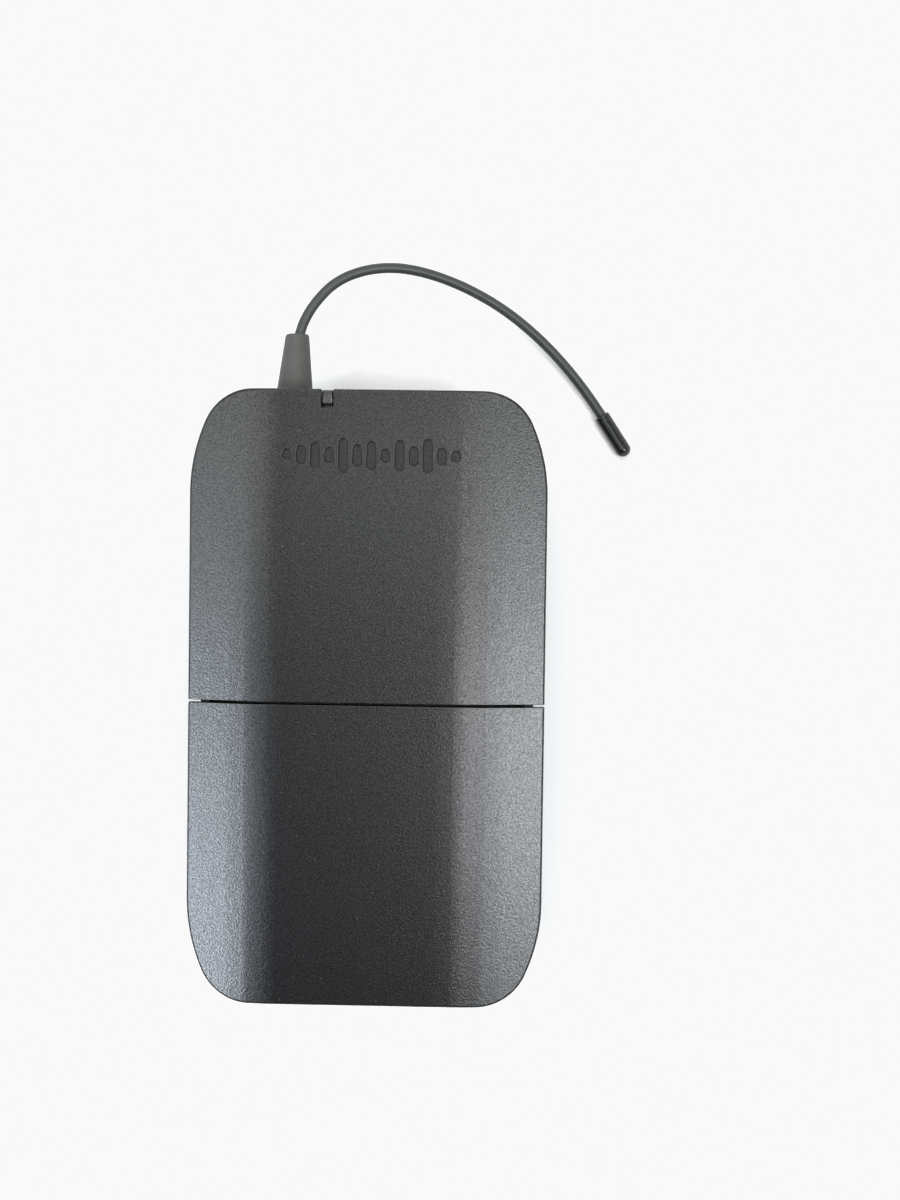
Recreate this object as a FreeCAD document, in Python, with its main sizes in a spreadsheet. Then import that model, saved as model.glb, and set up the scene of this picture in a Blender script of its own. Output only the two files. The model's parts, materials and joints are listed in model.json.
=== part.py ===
import FreeCAD, Part
import math
import os
import Sketcher

# A wireless bodypack transmitter: a crowned front cover and a hinged battery door over a deeper rear
# case, with a wire belt clip, two cells, a circuit board, controls and a flexible antenna.
#
# Frame: millimetres, +Z out of the front face, +Y towards the antenna end, +X to the right. The pack
# lies on its belt clip, so Z = 0 is the surface under the clip, and X = Y = 0 is the middle of the pack.

os.makedirs("parts", exist_ok=True)
doc = FreeCAD.newDocument("bodypack")
Vector = FreeCAD.Vector
X_AXIS, Y_AXIS, Z_AXIS = Vector(1, 0, 0), Vector(0, 1, 0), Vector(0, 0, 1)

SIZES = {
    # outline, seen from the front: each corner is a large arc, then a small one
    "half_width": 32.0,
    "half_length": 55.0,
    "side_arc": 31.5,
    "end_arc": 9.5,
    "side_straight": 36.4,
    # levels
    "back_level": 7.2,
    "skirt_level": 23.4,
    "rim_level": 23.7,
    "edge_level": 24.6,
    "front_level": 28.2,
    # front shell
    "wall": 1.8,
    "skirt_draft": 0.15,
    "front_flat": 15.8,
    "crown_arc": 28.0,
    "side_slope": 12.0,
    "rim_round": 0.45,
    "split_at": -0.9,
    "split_gap": 0.42,
    "split_round": 0.12,
    # rear case
    "case_wall": 1.6,
    "rim_inset": 2.0,
    "back_inset": 3.2,
    "back_chamfer": 1.4,
    "boss_radius": 2.5,
    "boss_top": 20.0,
    "standoff_radius": 2.2,
    # level bars pressed into the front
    "motif_x": 0.7,
    "motif_y": 43.3,
    "motif_pitch": 2.5,
    "motif_bar": 1.55,
    "motif_depth": 0.45,
    "motif_round": 0.2,
    # door hinge, closed at the lower end of the pack
    "hinge_y": -52.8,
    "hinge_z": 22.2,
    "barrel_radius": 2.2,
    "barrel_half": 24.2,
    "hinge_clearance": 0.35,
    "lug_radius": 2.1,
    "lug_inner": 13.3,
    "lug_outer": 17.3,
    "lug_gap": 0.3,
    "pin_radius": 0.75,
    "pin_play": 0.05,
    "pin_half": 21.0,
    # door latches
    "latch_y": -8.5,
    "latch_half": 4.2,
    "latch_gap": 0.3,
    "latch_z": 21.4,
    "latch_low": 18.3,
    "latch_high": 23.1,
    "latch_inner": 27.4,
    "latch_face": 30.9,
    "stem_radius": 0.9,
    "stem_end": 24.9,
    "rib_inner": 24.7,
    "rib_outer": 25.6,
    "rib_top": 25.6,
    "rib_half": 2.2,
    "spring_wire": 0.15,
    # cells, lying across the pack
    "cell_radius": 7.25,
    "cell_half": 24.7,
    "cell_z": 17.3,
    "cell_lower": -40.6,
    "cell_upper": -25.9,
    "bay_radius": 7.45,
    "bay_half": 25.4,
    "plate_inner": 25.9,
    "plate_thick": 0.3,
    "plate_half": 3.2,
    "plate_low": 15.0,
    "plate_high": 20.4,
    "tray_half": 26.1,
    "tray_low": -48.6,
    "tray_high": -18.1,
    "tray_top": 18.8,
    # foam pad inside the door
    "foam": 1.5,
    "foam_half": 14.5,
    "foam_low": -45.0,
    "foam_high": -21.5,
    # control panel under the door
    "panel_y": -9.8,
    "shelf_half": 23.3,
    "shelf_low": 19.9,
    "shelf_high": 21.3,
    "shelf_end": -18.0,
    "window_x": -14.0,
    "window_width": 9.0,
    "window_height": 6.6,
    "group_x": -3.6,
    "channel_x": 4.4,
    "button_radius": 2.2,
    "knob_x": 15.0,
    "knob_radius": 3.2,
    "shaft_radius": 1.5,
    # circuit board
    "board_half": 19.5,
    "board_low": -18.0,
    "board_high": 48.5,
    "board_z": 13.0,
    "board_thick": 1.6,
    # antenna end
    "antenna_x": -14.48,
    "antenna_z": 16.8,
    "boot_radius": 3.5,
    "boot_top_radius": 2.13,
    "boot_top": 65.6,
    "boot_lean": 0.48,
    "boot_bore": 4.1,
    "neck_radius": 2.05,
    "whip_radius": 0.95,
    "cap_radius": 1.45,
    "cap_length": 8.9,
    "led_x": -7.24,
    "notch_half": 1.08,
    "notch_end": 51.7,
    "switch_x": 2.3,
    "switch_z": 16.6,
    "jack_x": 17.0,
    "jack_z": 13.9,
    "jack_bore": 3.8,
    "jack_radius": 4.4,
    "jack_flange": 0.3,
    "jack_flange_thick": 1.4,
    "contact_radius": 0.5,
    "contact_offset": 1.6,
    # belt clip
    "clip_wire": 1.0,
    "clip_y": 34.0,
    "clip_z": 12.2,
    "clip_side": 30.8,
    "clip_bore": 1.06,
    "clip_bush": 2.25,
    # fasteners
    "case_screw_x": 22.5,
    "case_screw_high": 38.5,
    "case_screw_low": 6.0,
    "case_screw_head": 1.95,
    "case_screw_radius": 0.98,
    "case_screw_seat": 9.2,
    "case_screw_tip": 24.6,
    "screw_pilot": 1.0,
    "board_screw_x": 17.2,
    "board_screw_high": 36.0,
    "board_screw_low": 2.5,
    "board_screw_head": 1.7,
    "board_screw_radius": 0.78,
    "board_screw_depth": 3.0,
    # blank rating plate
    "label_half": 15.0,
    "label_low": -18.0,
    "label_high": 16.0,
    "label_depth": 0.25,
}

sheet = doc.addObject("Spreadsheet::Sheet", "sizes")
for row, (alias, value) in enumerate(SIZES.items(), start=1):
    sheet.set(f"A{row}", alias)
    sheet.set(f"B{row}", str(value))
    sheet.setAlias(f"B{row}", alias)
doc.recompute()


class Size:
    """A length from the sheet, or worked out from it, with the expression that says how."""

    def __init__(self, text, value):
        self.text = text
        self.value = value

    def __add__(self, other):
        return Size(f"({self.text} + {text_of(other)})", self.value + number_of(other))

    def __radd__(self, other):
        return Size(f"({text_of(other)} + {self.text})", number_of(other) + self.value)

    def __sub__(self, other):
        return Size(f"({self.text} - {text_of(other)})", self.value - number_of(other))

    def __rsub__(self, other):
        return Size(f"({text_of(other)} - {self.text})", number_of(other) - self.value)

    def __mul__(self, factor):
        return Size(f"({self.text} * {factor})", self.value * factor)

    __rmul__ = __mul__

    def __neg__(self):
        return Size(f"(0 - {self.text})", -self.value)


def text_of(size):
    return size.text if isinstance(size, Size) else repr(float(size))


def number_of(size):
    return size.value if isinstance(size, Size) else float(size)


class Namespace:
    """The sheet's lengths, one attribute each."""


s = Namespace()
for alias in SIZES:
    setattr(s, alias, Size("sizes." + alias, float(getattr(sheet, alias))))


def bind(thing, path, size):
    thing.setExpression(path, text_of(size))


# ---------------------------------------------------------------- Part primitives and booleans

# Levels that are below and above the whole of the front shells, for cutting right through them.
UNDER_FRONT, OVER_FRONT = 15.0, 30.0

ALONG = {
    "x": FreeCAD.Rotation(Y_AXIS, 90),
    "y": FreeCAD.Rotation(X_AXIS, -90),
    "z": FreeCAD.Rotation(),
}


def block(name, x, y, z):
    """A box between a low and a high value on each axis."""
    box = doc.addObject("Part::Box", name)
    for side, axis, (low, high) in (("Length", "x", x), ("Width", "y", y), ("Height", "z", z)):
        bind(box, side, high - low)
        bind(box, "Placement.Base." + axis, low)
    return box


def lay_along(thing, axis, centre, start):
    """Place a round primitive along an axis: centre is where it crosses the other two."""
    thing.Placement = FreeCAD.Placement(Vector(), ALONG[axis])
    others = [name for name in "xyz" if name != axis]
    bind(thing, "Placement.Base." + axis, start)
    bind(thing, "Placement.Base." + others[0], centre[0])
    bind(thing, "Placement.Base." + others[1], centre[1])
    return thing


def rod(name, axis, centre, radius, start, end):
    """A cylinder along x, y or z, from start to end."""
    cylinder = doc.addObject("Part::Cylinder", name)
    bind(cylinder, "Radius", radius)
    bind(cylinder, "Height", end - start)
    return lay_along(cylinder, axis, centre, start)


def cone(name, axis, centre, radius, end_radius, start, end):
    """A cone along x, y or z, from start to end."""
    solid = doc.addObject("Part::Cone", name)
    bind(solid, "Radius1", radius)
    bind(solid, "Radius2", end_radius)
    bind(solid, "Height", end - start)
    return lay_along(solid, axis, centre, start)


def fuse(name, *shapes):
    joined = doc.addObject("Part::MultiFuse", name)
    joined.Shapes = list(shapes)
    joined.Refine = True
    return joined


def cut(name, base, *tools):
    remainder = doc.addObject("Part::Cut", name)
    remainder.Base = base
    remainder.Tool = tools[0] if len(tools) == 1 else fuse(name + "_tools", *tools)
    remainder.Refine = True
    return remainder


def common(name, first, second):
    shared = doc.addObject("Part::Common", name)
    shared.Base = first
    shared.Tool = second
    shared.Refine = True
    return shared


def group(name, solids):
    """Separate solids kept as one node."""
    together = doc.addObject("Part::Compound", name)
    together.Links = list(solids)
    return together


def mirrored(name, source):
    """The same piece on the other side of the pack."""
    copy = doc.addObject("Part::Mirroring", name)
    copy.Source = source
    copy.Normal = X_AXIS
    copy.Base = Vector()
    return copy


def edges_where(shape, test):
    """Numbers of the edges for which test(edge, normals of the two faces beside it) holds."""
    found = []
    for number, edge in enumerate(shape.Edges, start=1):
        middle = edge.valueAt((edge.FirstParameter + edge.LastParameter) / 2)
        faces = shape.ancestorsOfType(edge, Part.Face)
        normals = [face.normalAt(*face.Surface.parameter(middle)) for face in faces]
        if len(normals) == 2 and test(middle, normals):
            found.append(number)
    return found


def rounded(name, base, radius, test):
    """A Part fillet on the edges that pass the test."""
    doc.recompute()
    fillet = doc.addObject("Part::Fillet", name)
    fillet.Base = base
    fillet.Edges = [(number, radius, radius) for number in edges_where(base.Shape, test)]
    return fillet


# ---------------------------------------------------------------- sketches

def hold(sketch, piece, point, x, y):
    """Hold one point of a sketch at a distance from the sketch's origin."""
    for kind, size in (("DistanceX", x), ("DistanceY", y)):
        if size is None:
            continue
        index = sketch.addConstraint(Sketcher.Constraint(kind, -1, 1, piece, point, number_of(size)))
        sketch.setExpression(f"Constraints[{index}]", text_of(size))


def set_radius(sketch, piece, size):
    index = sketch.addConstraint(Sketcher.Constraint("Radius", piece, number_of(size)))
    sketch.setExpression(f"Constraints[{index}]", text_of(size))


def add_polygon(sketch, points):
    """A closed loop of straight lines with every corner held."""
    first = sketch.GeometryCount
    corners = [Vector(number_of(x), number_of(y), 0) for x, y in points]
    count = len(corners)
    for i in range(count):
        sketch.addGeometry(Part.LineSegment(corners[i], corners[(i + 1) % count]), False)
    for i in range(count):
        following = first + (i + 1) % count
        sketch.addConstraint(Sketcher.Constraint("Coincident", first + i, 2, following, 1))
        hold(sketch, first + i, 1, points[i][0], points[i][1])


def add_rectangle(sketch, x, y):
    add_polygon(sketch, [(x[0], y[0]), (x[1], y[0]), (x[1], y[1]), (x[0], y[1])])


def add_circle(sketch, x, y, radius):
    centre = Vector(number_of(x), number_of(y), 0)
    piece = sketch.addGeometry(Part.Circle(centre, Z_AXIS, number_of(radius)), False)
    hold(sketch, piece, 3, x, y)
    set_radius(sketch, piece, radius)


def outline_sketch(name, level, inset, far_inset=None):
    """The pack's outline at one level, moved in by inset all round, or by far_inset at the antenna end."""
    sketch = doc.addObject("Sketcher::SketchObject", name)
    bind(sketch, "Placement.Base.z", level)
    side, straight = s.half_width - inset, s.side_straight
    far = s.half_length - (inset if far_inset is None else far_inset)
    near = s.half_length - inset
    big, small = s.side_arc - inset, s.end_arc - inset
    reach = big.value - small.value
    width, half_straight = side.value, straight.value

    def corner(x_sign, y_sign, end):
        """Centres of the two arcs in one corner, and the angle where they meet."""
        rise = end.value - small.value - half_straight
        meeting = math.asin(rise / reach)
        first = Vector(x_sign * (width - big.value), y_sign * half_straight, 0)
        second = first + Vector(x_sign * reach * math.cos(meeting), y_sign * rise, 0)
        return first, second, meeting

    def arc(centre, radius, start, end):
        circle = Part.Circle(centre, Z_AXIS, radius.value)
        sketch.addGeometry(Part.ArcOfCircle(circle, start, end), False)

    def line(x1, y1, x2, y2):
        sketch.addGeometry(Part.LineSegment(Vector(x1, y1, 0), Vector(x2, y2, 0)), False)

    quarter = math.pi / 2
    upper_right, upper_left = corner(1, 1, far), corner(-1, 1, far)
    lower_left, lower_right = corner(-1, -1, near), corner(1, -1, near)
    line(width, -half_straight, width, half_straight)
    arc(upper_right[0], big, 0, upper_right[2])
    arc(upper_right[1], small, upper_right[2], quarter)
    line(upper_right[1].x, far.value, upper_left[1].x, far.value)
    arc(upper_left[1], small, quarter, 2 * quarter - upper_left[2])
    arc(upper_left[0], big, 2 * quarter - upper_left[2], 2 * quarter)
    line(-width, half_straight, -width, -half_straight)
    arc(lower_left[0], big, 2 * quarter, 2 * quarter + lower_left[2])
    arc(lower_left[1], small, 2 * quarter + lower_left[2], 3 * quarter)
    line(lower_left[1].x, -near.value, lower_right[1].x, -near.value)
    arc(lower_right[1], small, 3 * quarter, 4 * quarter - lower_right[2])
    arc(lower_right[0], big, 4 * quarter - lower_right[2], 4 * quarter)
    count = sketch.GeometryCount
    for i in range(count):
        sketch.addConstraint(Sketcher.Constraint("Tangent", i, 2, (i + 1) % count, 1))
    for upright in (0, 6):
        sketch.addConstraint(Sketcher.Constraint("Vertical", upright))
    for level_line in (3, 9):
        sketch.addConstraint(Sketcher.Constraint("Horizontal", level_line))
    for piece in (1, 5, 7, 11):
        set_radius(sketch, piece, big)
    for piece in (2, 4, 8, 10):
        set_radius(sketch, piece, small)
    hold(sketch, 0, 1, side, -straight)
    hold(sketch, 0, 2, None, straight)
    hold(sketch, 6, 1, -side, straight)
    hold(sketch, 6, 2, None, -straight)
    hold(sketch, 3, 1, None, far)
    hold(sketch, 9, 1, None, -near)
    return sketch


def outline_solid(name, sections):
    """A ruled solid through outlines, each given as (level, inset) or (level, inset, far inset)."""
    loft = doc.addObject("Part::Loft", name)
    loft.Sections = [outline_sketch(f"{name}_{i}", *section) for i, section in enumerate(sections)]
    loft.Solid = True
    loft.Ruled = True
    return loft


def crown_solid(name, inset):
    """Everything under the crowned front: flat in the middle, rolled over into two side slopes."""
    sketch = doc.addObject("Sketcher::SketchObject", name + "_section")
    sketch.Placement = FreeCAD.Placement(Vector(), FreeCAD.Rotation(X_AXIS, 90))
    top, radius, flat = s.front_level - inset, s.crown_arc - inset, s.front_flat
    reach, floor = s.half_width + 3, s.back_level - 5
    slope = math.radians(s.side_slope.value)
    roll_x = flat.value + radius.value * math.sin(slope)
    roll_z = top.value - radius.value * (1 - math.cos(slope))
    outer_z = roll_z - (reach.value - roll_x) * math.tan(slope)
    upright = math.pi / 2

    def line(x1, z1, x2, z2):
        sketch.addGeometry(Part.LineSegment(Vector(x1, z1, 0), Vector(x2, z2, 0)), False)

    def arc(x, start, end):
        circle = Part.Circle(Vector(x, top.value - radius.value, 0), Z_AXIS, radius.value)
        sketch.addGeometry(Part.ArcOfCircle(circle, start, end), False)

    line(-reach.value, floor.value, reach.value, floor.value)
    line(reach.value, floor.value, reach.value, outer_z)
    line(reach.value, outer_z, roll_x, roll_z)
    arc(flat.value, upright - slope, upright)
    line(flat.value, top.value, -flat.value, top.value)
    arc(-flat.value, upright, upright + slope)
    line(-roll_x, roll_z, -reach.value, outer_z)
    line(-reach.value, outer_z, -reach.value, floor.value)
    for first, second in ((0, 1), (1, 2), (6, 7), (7, 0)):
        sketch.addConstraint(Sketcher.Constraint("Coincident", first, 2, second, 1))
    for first in (2, 3, 4, 5):
        sketch.addConstraint(Sketcher.Constraint("Tangent", first, 2, first + 1, 1))
    for kind, pieces in (("Horizontal", (0, 4)), ("Vertical", (1, 7))):
        for piece in pieces:
            sketch.addConstraint(Sketcher.Constraint(kind, piece))
    hold(sketch, 0, 1, -reach, floor)
    hold(sketch, 0, 2, reach, None)
    hold(sketch, 4, 1, flat, top)
    hold(sketch, 4, 2, -flat, None)
    set_radius(sketch, 3, radius)
    set_radius(sketch, 5, radius)
    angle = sketch.addConstraint(Sketcher.Constraint("Angle", 2, math.pi - slope))
    sketch.setExpression(f"Constraints[{angle}]", text_of(180 - s.side_slope))
    sketch.addConstraint(Sketcher.Constraint("Horizontal", 1, 2, 6, 2))
    solid = doc.addObject("Part::Extrusion", name)
    solid.Base = sketch
    solid.DirMode = "Normal"
    solid.Solid = True
    solid.Symmetric = True
    bind(solid, "LengthFwd", s.half_length * 2 + 6)
    return solid


# ---------------------------------------------------------------- PartDesign bodies

def new_body(label):
    body = doc.addObject("PartDesign::Body", label)
    body.Label = label
    return body


def attached_sketch(body, role, offset):
    """A sketch on one of the body's own origin planes, moved along the plane's normal."""
    sketch = body.newObject("Sketcher::SketchObject", f"{body.Label}_sketch")
    plane = next(feature for feature in body.Origin.OriginFeatures if feature.Role == role)
    sketch.AttachmentSupport = [(plane, "")]
    sketch.MapMode = "FlatFace"
    bind(sketch, "AttachmentOffset.Base.z", offset)
    return sketch


def pad(body, sketch, length):
    feature = body.newObject("PartDesign::Pad", f"{body.Label}_pad")
    feature.Profile = sketch
    bind(feature, "Length", length)
    return feature


def pocket(body, sketch, depth, along_normal=False):
    """Cut against the sketch's normal, or along it, and make sure that something was cut."""
    doc.recompute()
    before = body.Shape.Volume
    feature = body.newObject("PartDesign::Pocket", f"{body.Label}_pocket")
    feature.Profile = sketch
    feature.Reversed = along_normal
    bind(feature, "Length", depth)
    doc.recompute()
    if body.Shape.Volume >= before - 1e-6:
        raise RuntimeError(f"{feature.Name} cuts nothing")
    return feature


def revolve(body, sketch):
    """A full turn of the sketch about its own vertical axis."""
    feature = body.newObject("PartDesign::Revolution", f"{body.Label}_turning")
    feature.Profile = sketch
    feature.ReferenceAxis = (sketch, ["V_Axis"])
    feature.Angle = 360
    return feature


def round_edges(body, feature, radius, test):
    doc.recompute()
    fillet = body.newObject("PartDesign::Fillet", f"{body.Label}_fillet")
    fillet.Base = (feature, [f"Edge{number}" for number in edges_where(feature.Shape, test)])
    fillet.Radius = radius
    return fillet


def place(body, x, y, z, rotation=FreeCAD.Rotation()):
    body.Placement = FreeCAD.Placement(Vector(), rotation)
    for axis, size in (("x", x), ("y", y), ("z", z)):
        bind(body, "Placement.Base." + axis, size)
    return body


# ---------------------------------------------------------------- tubes along a bent path

RUNS_PER_TURN = 8


def rounded_wire(points, radii):
    """Straight runs joined by tangent arcs, with one radius for each inner point."""
    edges = []
    start = points[0]
    for before, corner, after, radius in zip(points, points[1:], points[2:], radii):
        incoming = (corner - before) * (1 / (corner - before).Length)
        outgoing = (after - corner) * (1 / (after - corner).Length)
        half_turn = incoming.getAngle(outgoing) / 2
        setback = radius * math.tan(half_turn)
        bisector = (outgoing - incoming) * (1 / (outgoing - incoming).Length)
        arc_start, arc_end = corner - incoming * setback, corner + outgoing * setback
        arc_middle = corner + bisector * (radius / math.cos(half_turn) - radius)
        edges.append(Part.LineSegment(start, arc_start).toShape())
        edges.append(Part.Arc(arc_start, arc_middle, arc_end).toShape())
        start = arc_end
    edges.append(Part.LineSegment(start, points[-1]).toShape())
    return Part.Wire(edges)


def tube(name, points, radii, radius):
    """A round wire or cord along the path, checked against its section times its length."""
    path = rounded_wire(points, radii)
    section = Part.Wire([Part.makeCircle(radius, points[0], points[1] - points[0])])
    solid = path.makePipeShell([section], True, True)
    expected = math.pi * radius ** 2 * path.Length
    if abs(solid.Volume / expected - 1) > 0.01:
        raise RuntimeError(f"{name} has volume {solid.Volume}, not {expected}")
    feature = doc.addObject("Part::Feature", name)
    feature.Shape = solid
    feature.Placement = FreeCAD.Placement()
    return feature


# ---------------------------------------------------------------- front cover and battery door

def front_shells():
    """The whole crowned shell, with its edge rounded, before it is split: outside, then hollowed."""
    over = s.front_level + 1
    sides = outline_solid("front_sides", [(s.skirt_level, s.skirt_draft), (s.edge_level, 0.0), (over, 0.0)])
    rough = common("front_rough", sides, crown_solid("front_crown", 0.0))

    def on_the_rim(middle, normals):
        tilts = sorted(abs(normal.z) for normal in normals)
        return middle.z > s.edge_level.value + 0.3 and tilts[0] < 0.2 and tilts[1] > 0.8

    outside = rounded("front_outside", rough, s.rim_round.value, on_the_rim)
    inner_sides = outline_solid("front_hollow_sides", [
        (s.skirt_level - 1, s.skirt_draft + s.wall), (s.edge_level, s.wall), (over, s.wall),
    ])
    hollow = common("front_hollow", inner_sides, crown_solid("front_hollow_crown", s.wall))
    return outside, cut("front_shell", outside, hollow)


def along_the_split(y):
    """Picks the outer edges where the shell was split, at the given y."""
    def test(middle, normals):
        outward = any(abs(normal.y) > 0.9 for normal in normals)
        roof = middle.z > s.edge_level.value - 0.2 and any(normal.z > 0.3 for normal in normals)
        side = abs(middle.x) > s.half_width.value - 0.5
        return abs(middle.y - y.value) < 0.001 and outward and (roof or side)

    return test


def round_the_bars(middle, normals):
    """Picks the upper rims of the level bars and of the LED's notch."""
    tilts = sorted(abs(normal.z) for normal in normals)
    on_the_front = middle.z > s.front_level.value - 0.25 and tilts[0] < 0.05 and tilts[1] > 0.95
    near_bars = abs(middle.y - s.motif_y.value) < 3.2 and abs(middle.x) < 18
    beside_led = abs(middle.x - s.led_x.value) < s.notch_half.value + 0.1
    in_notch = s.notch_end.value - 0.1 < middle.y < s.half_length.value - 0.5
    return on_the_front and (near_bars or (beside_led and in_notch))


BAR_HEIGHTS = (1.8, 3.0, 4.4, 2.6, 5.8, 3.6, 4.8, 2.2, 5.2, 3.2, 5.8, 2.8, 1.8)


def motif_bars():
    """A row of round-ended level bars, to be cut into the front."""
    bars = []
    low, high = s.front_level - s.motif_depth, s.front_level + 1
    half = s.motif_bar * 0.5
    for i, height in enumerate(BAR_HEIGHTS):
        x = s.motif_x + s.motif_pitch * (i - (len(BAR_HEIGHTS) - 1) / 2)
        reach = height / 2 - half
        y_low, y_high = s.motif_y - reach, s.motif_y + reach
        bars.append(block(f"bar_{i}", (x - half, x + half), (y_low, y_high), (low, high)))
        for end, y in (("low", y_low), ("high", y_high)):
            bars.append(rod(f"bar_{i}_{end}", "z", (x, y), half, low, high))
    return bars


CONTROL_PLAY = 0.15


def screw_places():
    """Where the case screws stand, as (x, y)."""
    xs, ys = (-s.case_screw_x, s.case_screw_x), (s.case_screw_low, s.case_screw_high)
    return [(x, y) for x in xs for y in ys]


def front_cover(outside, shell):
    """The fixed front cover, with the wall beside the door, the control shelf and the screw bosses."""
    upper = s.split_at + s.split_gap * 0.5
    reach = s.half_width + 2
    zone = block("cover_zone", (-reach, reach), (upper, s.half_length + 2), (UNDER_FRONT, OVER_FRONT))
    half = common("cover_half", shell, zone)
    wall_y = (upper, upper + s.wall)
    step_zone = block("step_zone", (-reach, reach), wall_y, (s.rim_level + 0.2, OVER_FRONT))
    step = common("step_wall", outside, step_zone)
    drop = block("shelf_drop", (-s.shelf_half, s.shelf_half), wall_y, (s.shelf_low, s.edge_level))
    shelf_y = (s.shelf_end, upper + s.wall)
    shelf = block("shelf", (-s.shelf_half, s.shelf_half), shelf_y, (s.shelf_low, s.shelf_high))
    boss_rods, pilots = [], []
    boss_z, pilot_z = (s.boss_top, s.front_level - s.wall), (s.boss_top - 0.1, s.case_screw_tip + 0.4)
    for i, place_xy in enumerate(screw_places()):
        boss_rods.append(rod(f"cover_boss_{i}", "z", place_xy, s.boss_radius, *boss_z))
        pilots.append(rod(f"cover_pilot_{i}", "z", place_xy, s.screw_pilot, *pilot_z))
    bosses = common("cover_bosses", fuse("boss_rods", *boss_rods), outside)
    body = fuse("cover_body", half, step, drop, shelf, bosses)
    through = (s.shelf_low - 0.1, s.shelf_high + 0.1)
    half_w, half_h = s.window_width * 0.5 + 0.1, s.window_height * 0.5 + 0.1
    window_y = (s.panel_y - half_h, s.panel_y + half_h)
    window = block("window_hole", (s.window_x - half_w, s.window_x + half_w), window_y, through)
    controls = {
        "group": (s.group_x, s.button_radius),
        "channel": (s.channel_x, s.button_radius),
        "knob": (s.knob_x, s.shaft_radius),
    }
    holes = [
        rod(f"{name}_hole", "z", (x, s.panel_y), radius + CONTROL_PLAY, *through)
        for name, (x, radius) in controls.items()
    ]
    notch_x, notch_y = (s.led_x - s.notch_half, s.led_x + s.notch_half), (s.notch_end, s.half_length + 1)
    notch = block("led_notch", notch_x, notch_y, (s.skirt_level - 0.1, s.front_level + 1))
    cover = cut("cover_sharp", body, *motif_bars(), *pilots, window, *holes, notch)
    eased = rounded("cover_eased", cover, s.motif_round.value, round_the_bars)
    return rounded("front_cover", eased, s.split_round.value, along_the_split(upper))


def latch_zone(name):
    """The space of the right-hand latch tab, with a gap round it, open at the top."""
    reach = s.latch_half + s.latch_gap
    z = (s.latch_low - s.latch_gap, s.rim_level + 1)
    return block(name, (s.shelf_half + 0.7, s.half_width - 0.4), (s.latch_y - reach, s.latch_y + reach), z)


def lug_reliefs(radius):
    """Cylinders about the hinge axis where the case's lugs stand."""
    inner, outer = s.lug_inner - s.lug_gap, s.lug_outer + s.lug_gap
    centre = (s.hinge_y, s.hinge_z)
    return [
        rod("relief_right", "x", centre, radius, inner, outer),
        rod("relief_left", "x", centre, radius, -outer, -inner),
    ]


def battery_door(shell):
    """The lower half of the front, with its hinge barrel and the ribs that guide the latches."""
    lower = s.split_at - s.split_gap * 0.5
    reach = s.half_width + 2
    zone = block("door_zone", (-reach, reach), (-s.half_length - 2, lower), (UNDER_FRONT, OVER_FRONT))
    half = common("door_half", shell, zone)
    axis = (s.hinge_y, s.hinge_z)
    barrel = common(
        "door_barrel",
        rod("barrel_rod", "x", axis, s.barrel_radius, -s.barrel_half, s.barrel_half),
        outline_solid("barrel_outline", [(s.hinge_z - 4, s.skirt_draft), (s.hinge_z + 4, s.skirt_draft)]),
    )
    ribs = []
    for side, x in (("right", (s.rib_inner, s.rib_outer)), ("left", (-s.rib_outer, -s.rib_inner))):
        y = (s.latch_y - s.rib_half, s.latch_y + s.rib_half)
        ribs.append(block(f"rib_{side}", x, y, (s.shelf_low, s.rib_top)))
    body = fuse("door_body", half, barrel, *ribs)
    guide_end = s.rib_outer + 1
    guides = rod("latch_guides", "x", (s.latch_y, s.latch_z), s.stem_radius + 0.2, -guide_end, guide_end)
    bore = rod("door_pin_bore", "x", axis, s.pin_radius + s.pin_play, -s.pin_half - 0.2, s.pin_half + 0.2)
    door = cut("door_sharp", body, guides, bore, *lug_reliefs(s.lug_radius + 0.4))
    return rounded("battery_door", door, s.split_round.value, along_the_split(lower))


def door_pin():
    return rod("door_hinge_pin", "x", (s.hinge_y, s.hinge_z), s.pin_radius, -s.pin_half, s.pin_half)


def foam_pad():
    """The strip of foam inside the door that steadies the cells."""
    roof = s.front_level - s.wall
    z = (roof - s.foam, roof - 0.02)
    return block("door_foam_pad", (-s.foam_half, s.foam_half), (s.foam_low, s.foam_high), z)


def latch(label):
    """A press tab with three grip ribs and a stem, drawn on the right-hand side."""
    y = (s.latch_y - s.latch_half, s.latch_y + s.latch_half)
    tab = block("tab", (s.latch_inner, s.latch_face), y, (s.latch_low, s.latch_high))
    groove_x, groove_pitch, groove_width = (s.latch_face - 0.35, s.latch_face + 1), 1.1, 0.55
    grooves = []
    for i in range(3):
        level = s.latch_low + 1.0 + groove_pitch * i
        grooves.append(block(f"grip_{i}", groove_x, y, (level, level + groove_width)))
    stem = rod("stem", "x", (s.latch_y, s.latch_z), s.stem_radius, s.stem_end, s.latch_inner)
    return cut(label, fuse("tab_and_stem", tab, stem), *grooves)


def coil(label, way, centre, start, length, turns, radius, wire):
    """A coil spring along x, from start in the way given: short runs joined by arcs, eight to a turn."""
    count = round(turns * RUNS_PER_TURN)
    y, z = (number_of(size) for size in centre)
    points = []
    for i in range(count + 1):
        angle = 2 * math.pi * i / RUNS_PER_TURN
        x = start + way * length * i / count
        points.append(Vector(x, y + radius * math.cos(angle), z + radius * math.sin(angle)))
    return tube(label, points, [0.9 * radius] * (count - 1), wire)


def latch_springs():
    """Two small compression springs round the latch stems."""
    wire = s.spring_wire.value
    start = s.rib_outer.value + wire + 0.02
    length = s.latch_inner.value - wire - 0.02 - start
    centre = (s.latch_y, s.latch_z)
    turns, radius = 4, 1.3
    coil("latch_spring_right", 1, centre, start, length, turns, radius, wire)
    coil("latch_spring_left", -1, centre, -start, length, turns, radius, wire)


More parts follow.
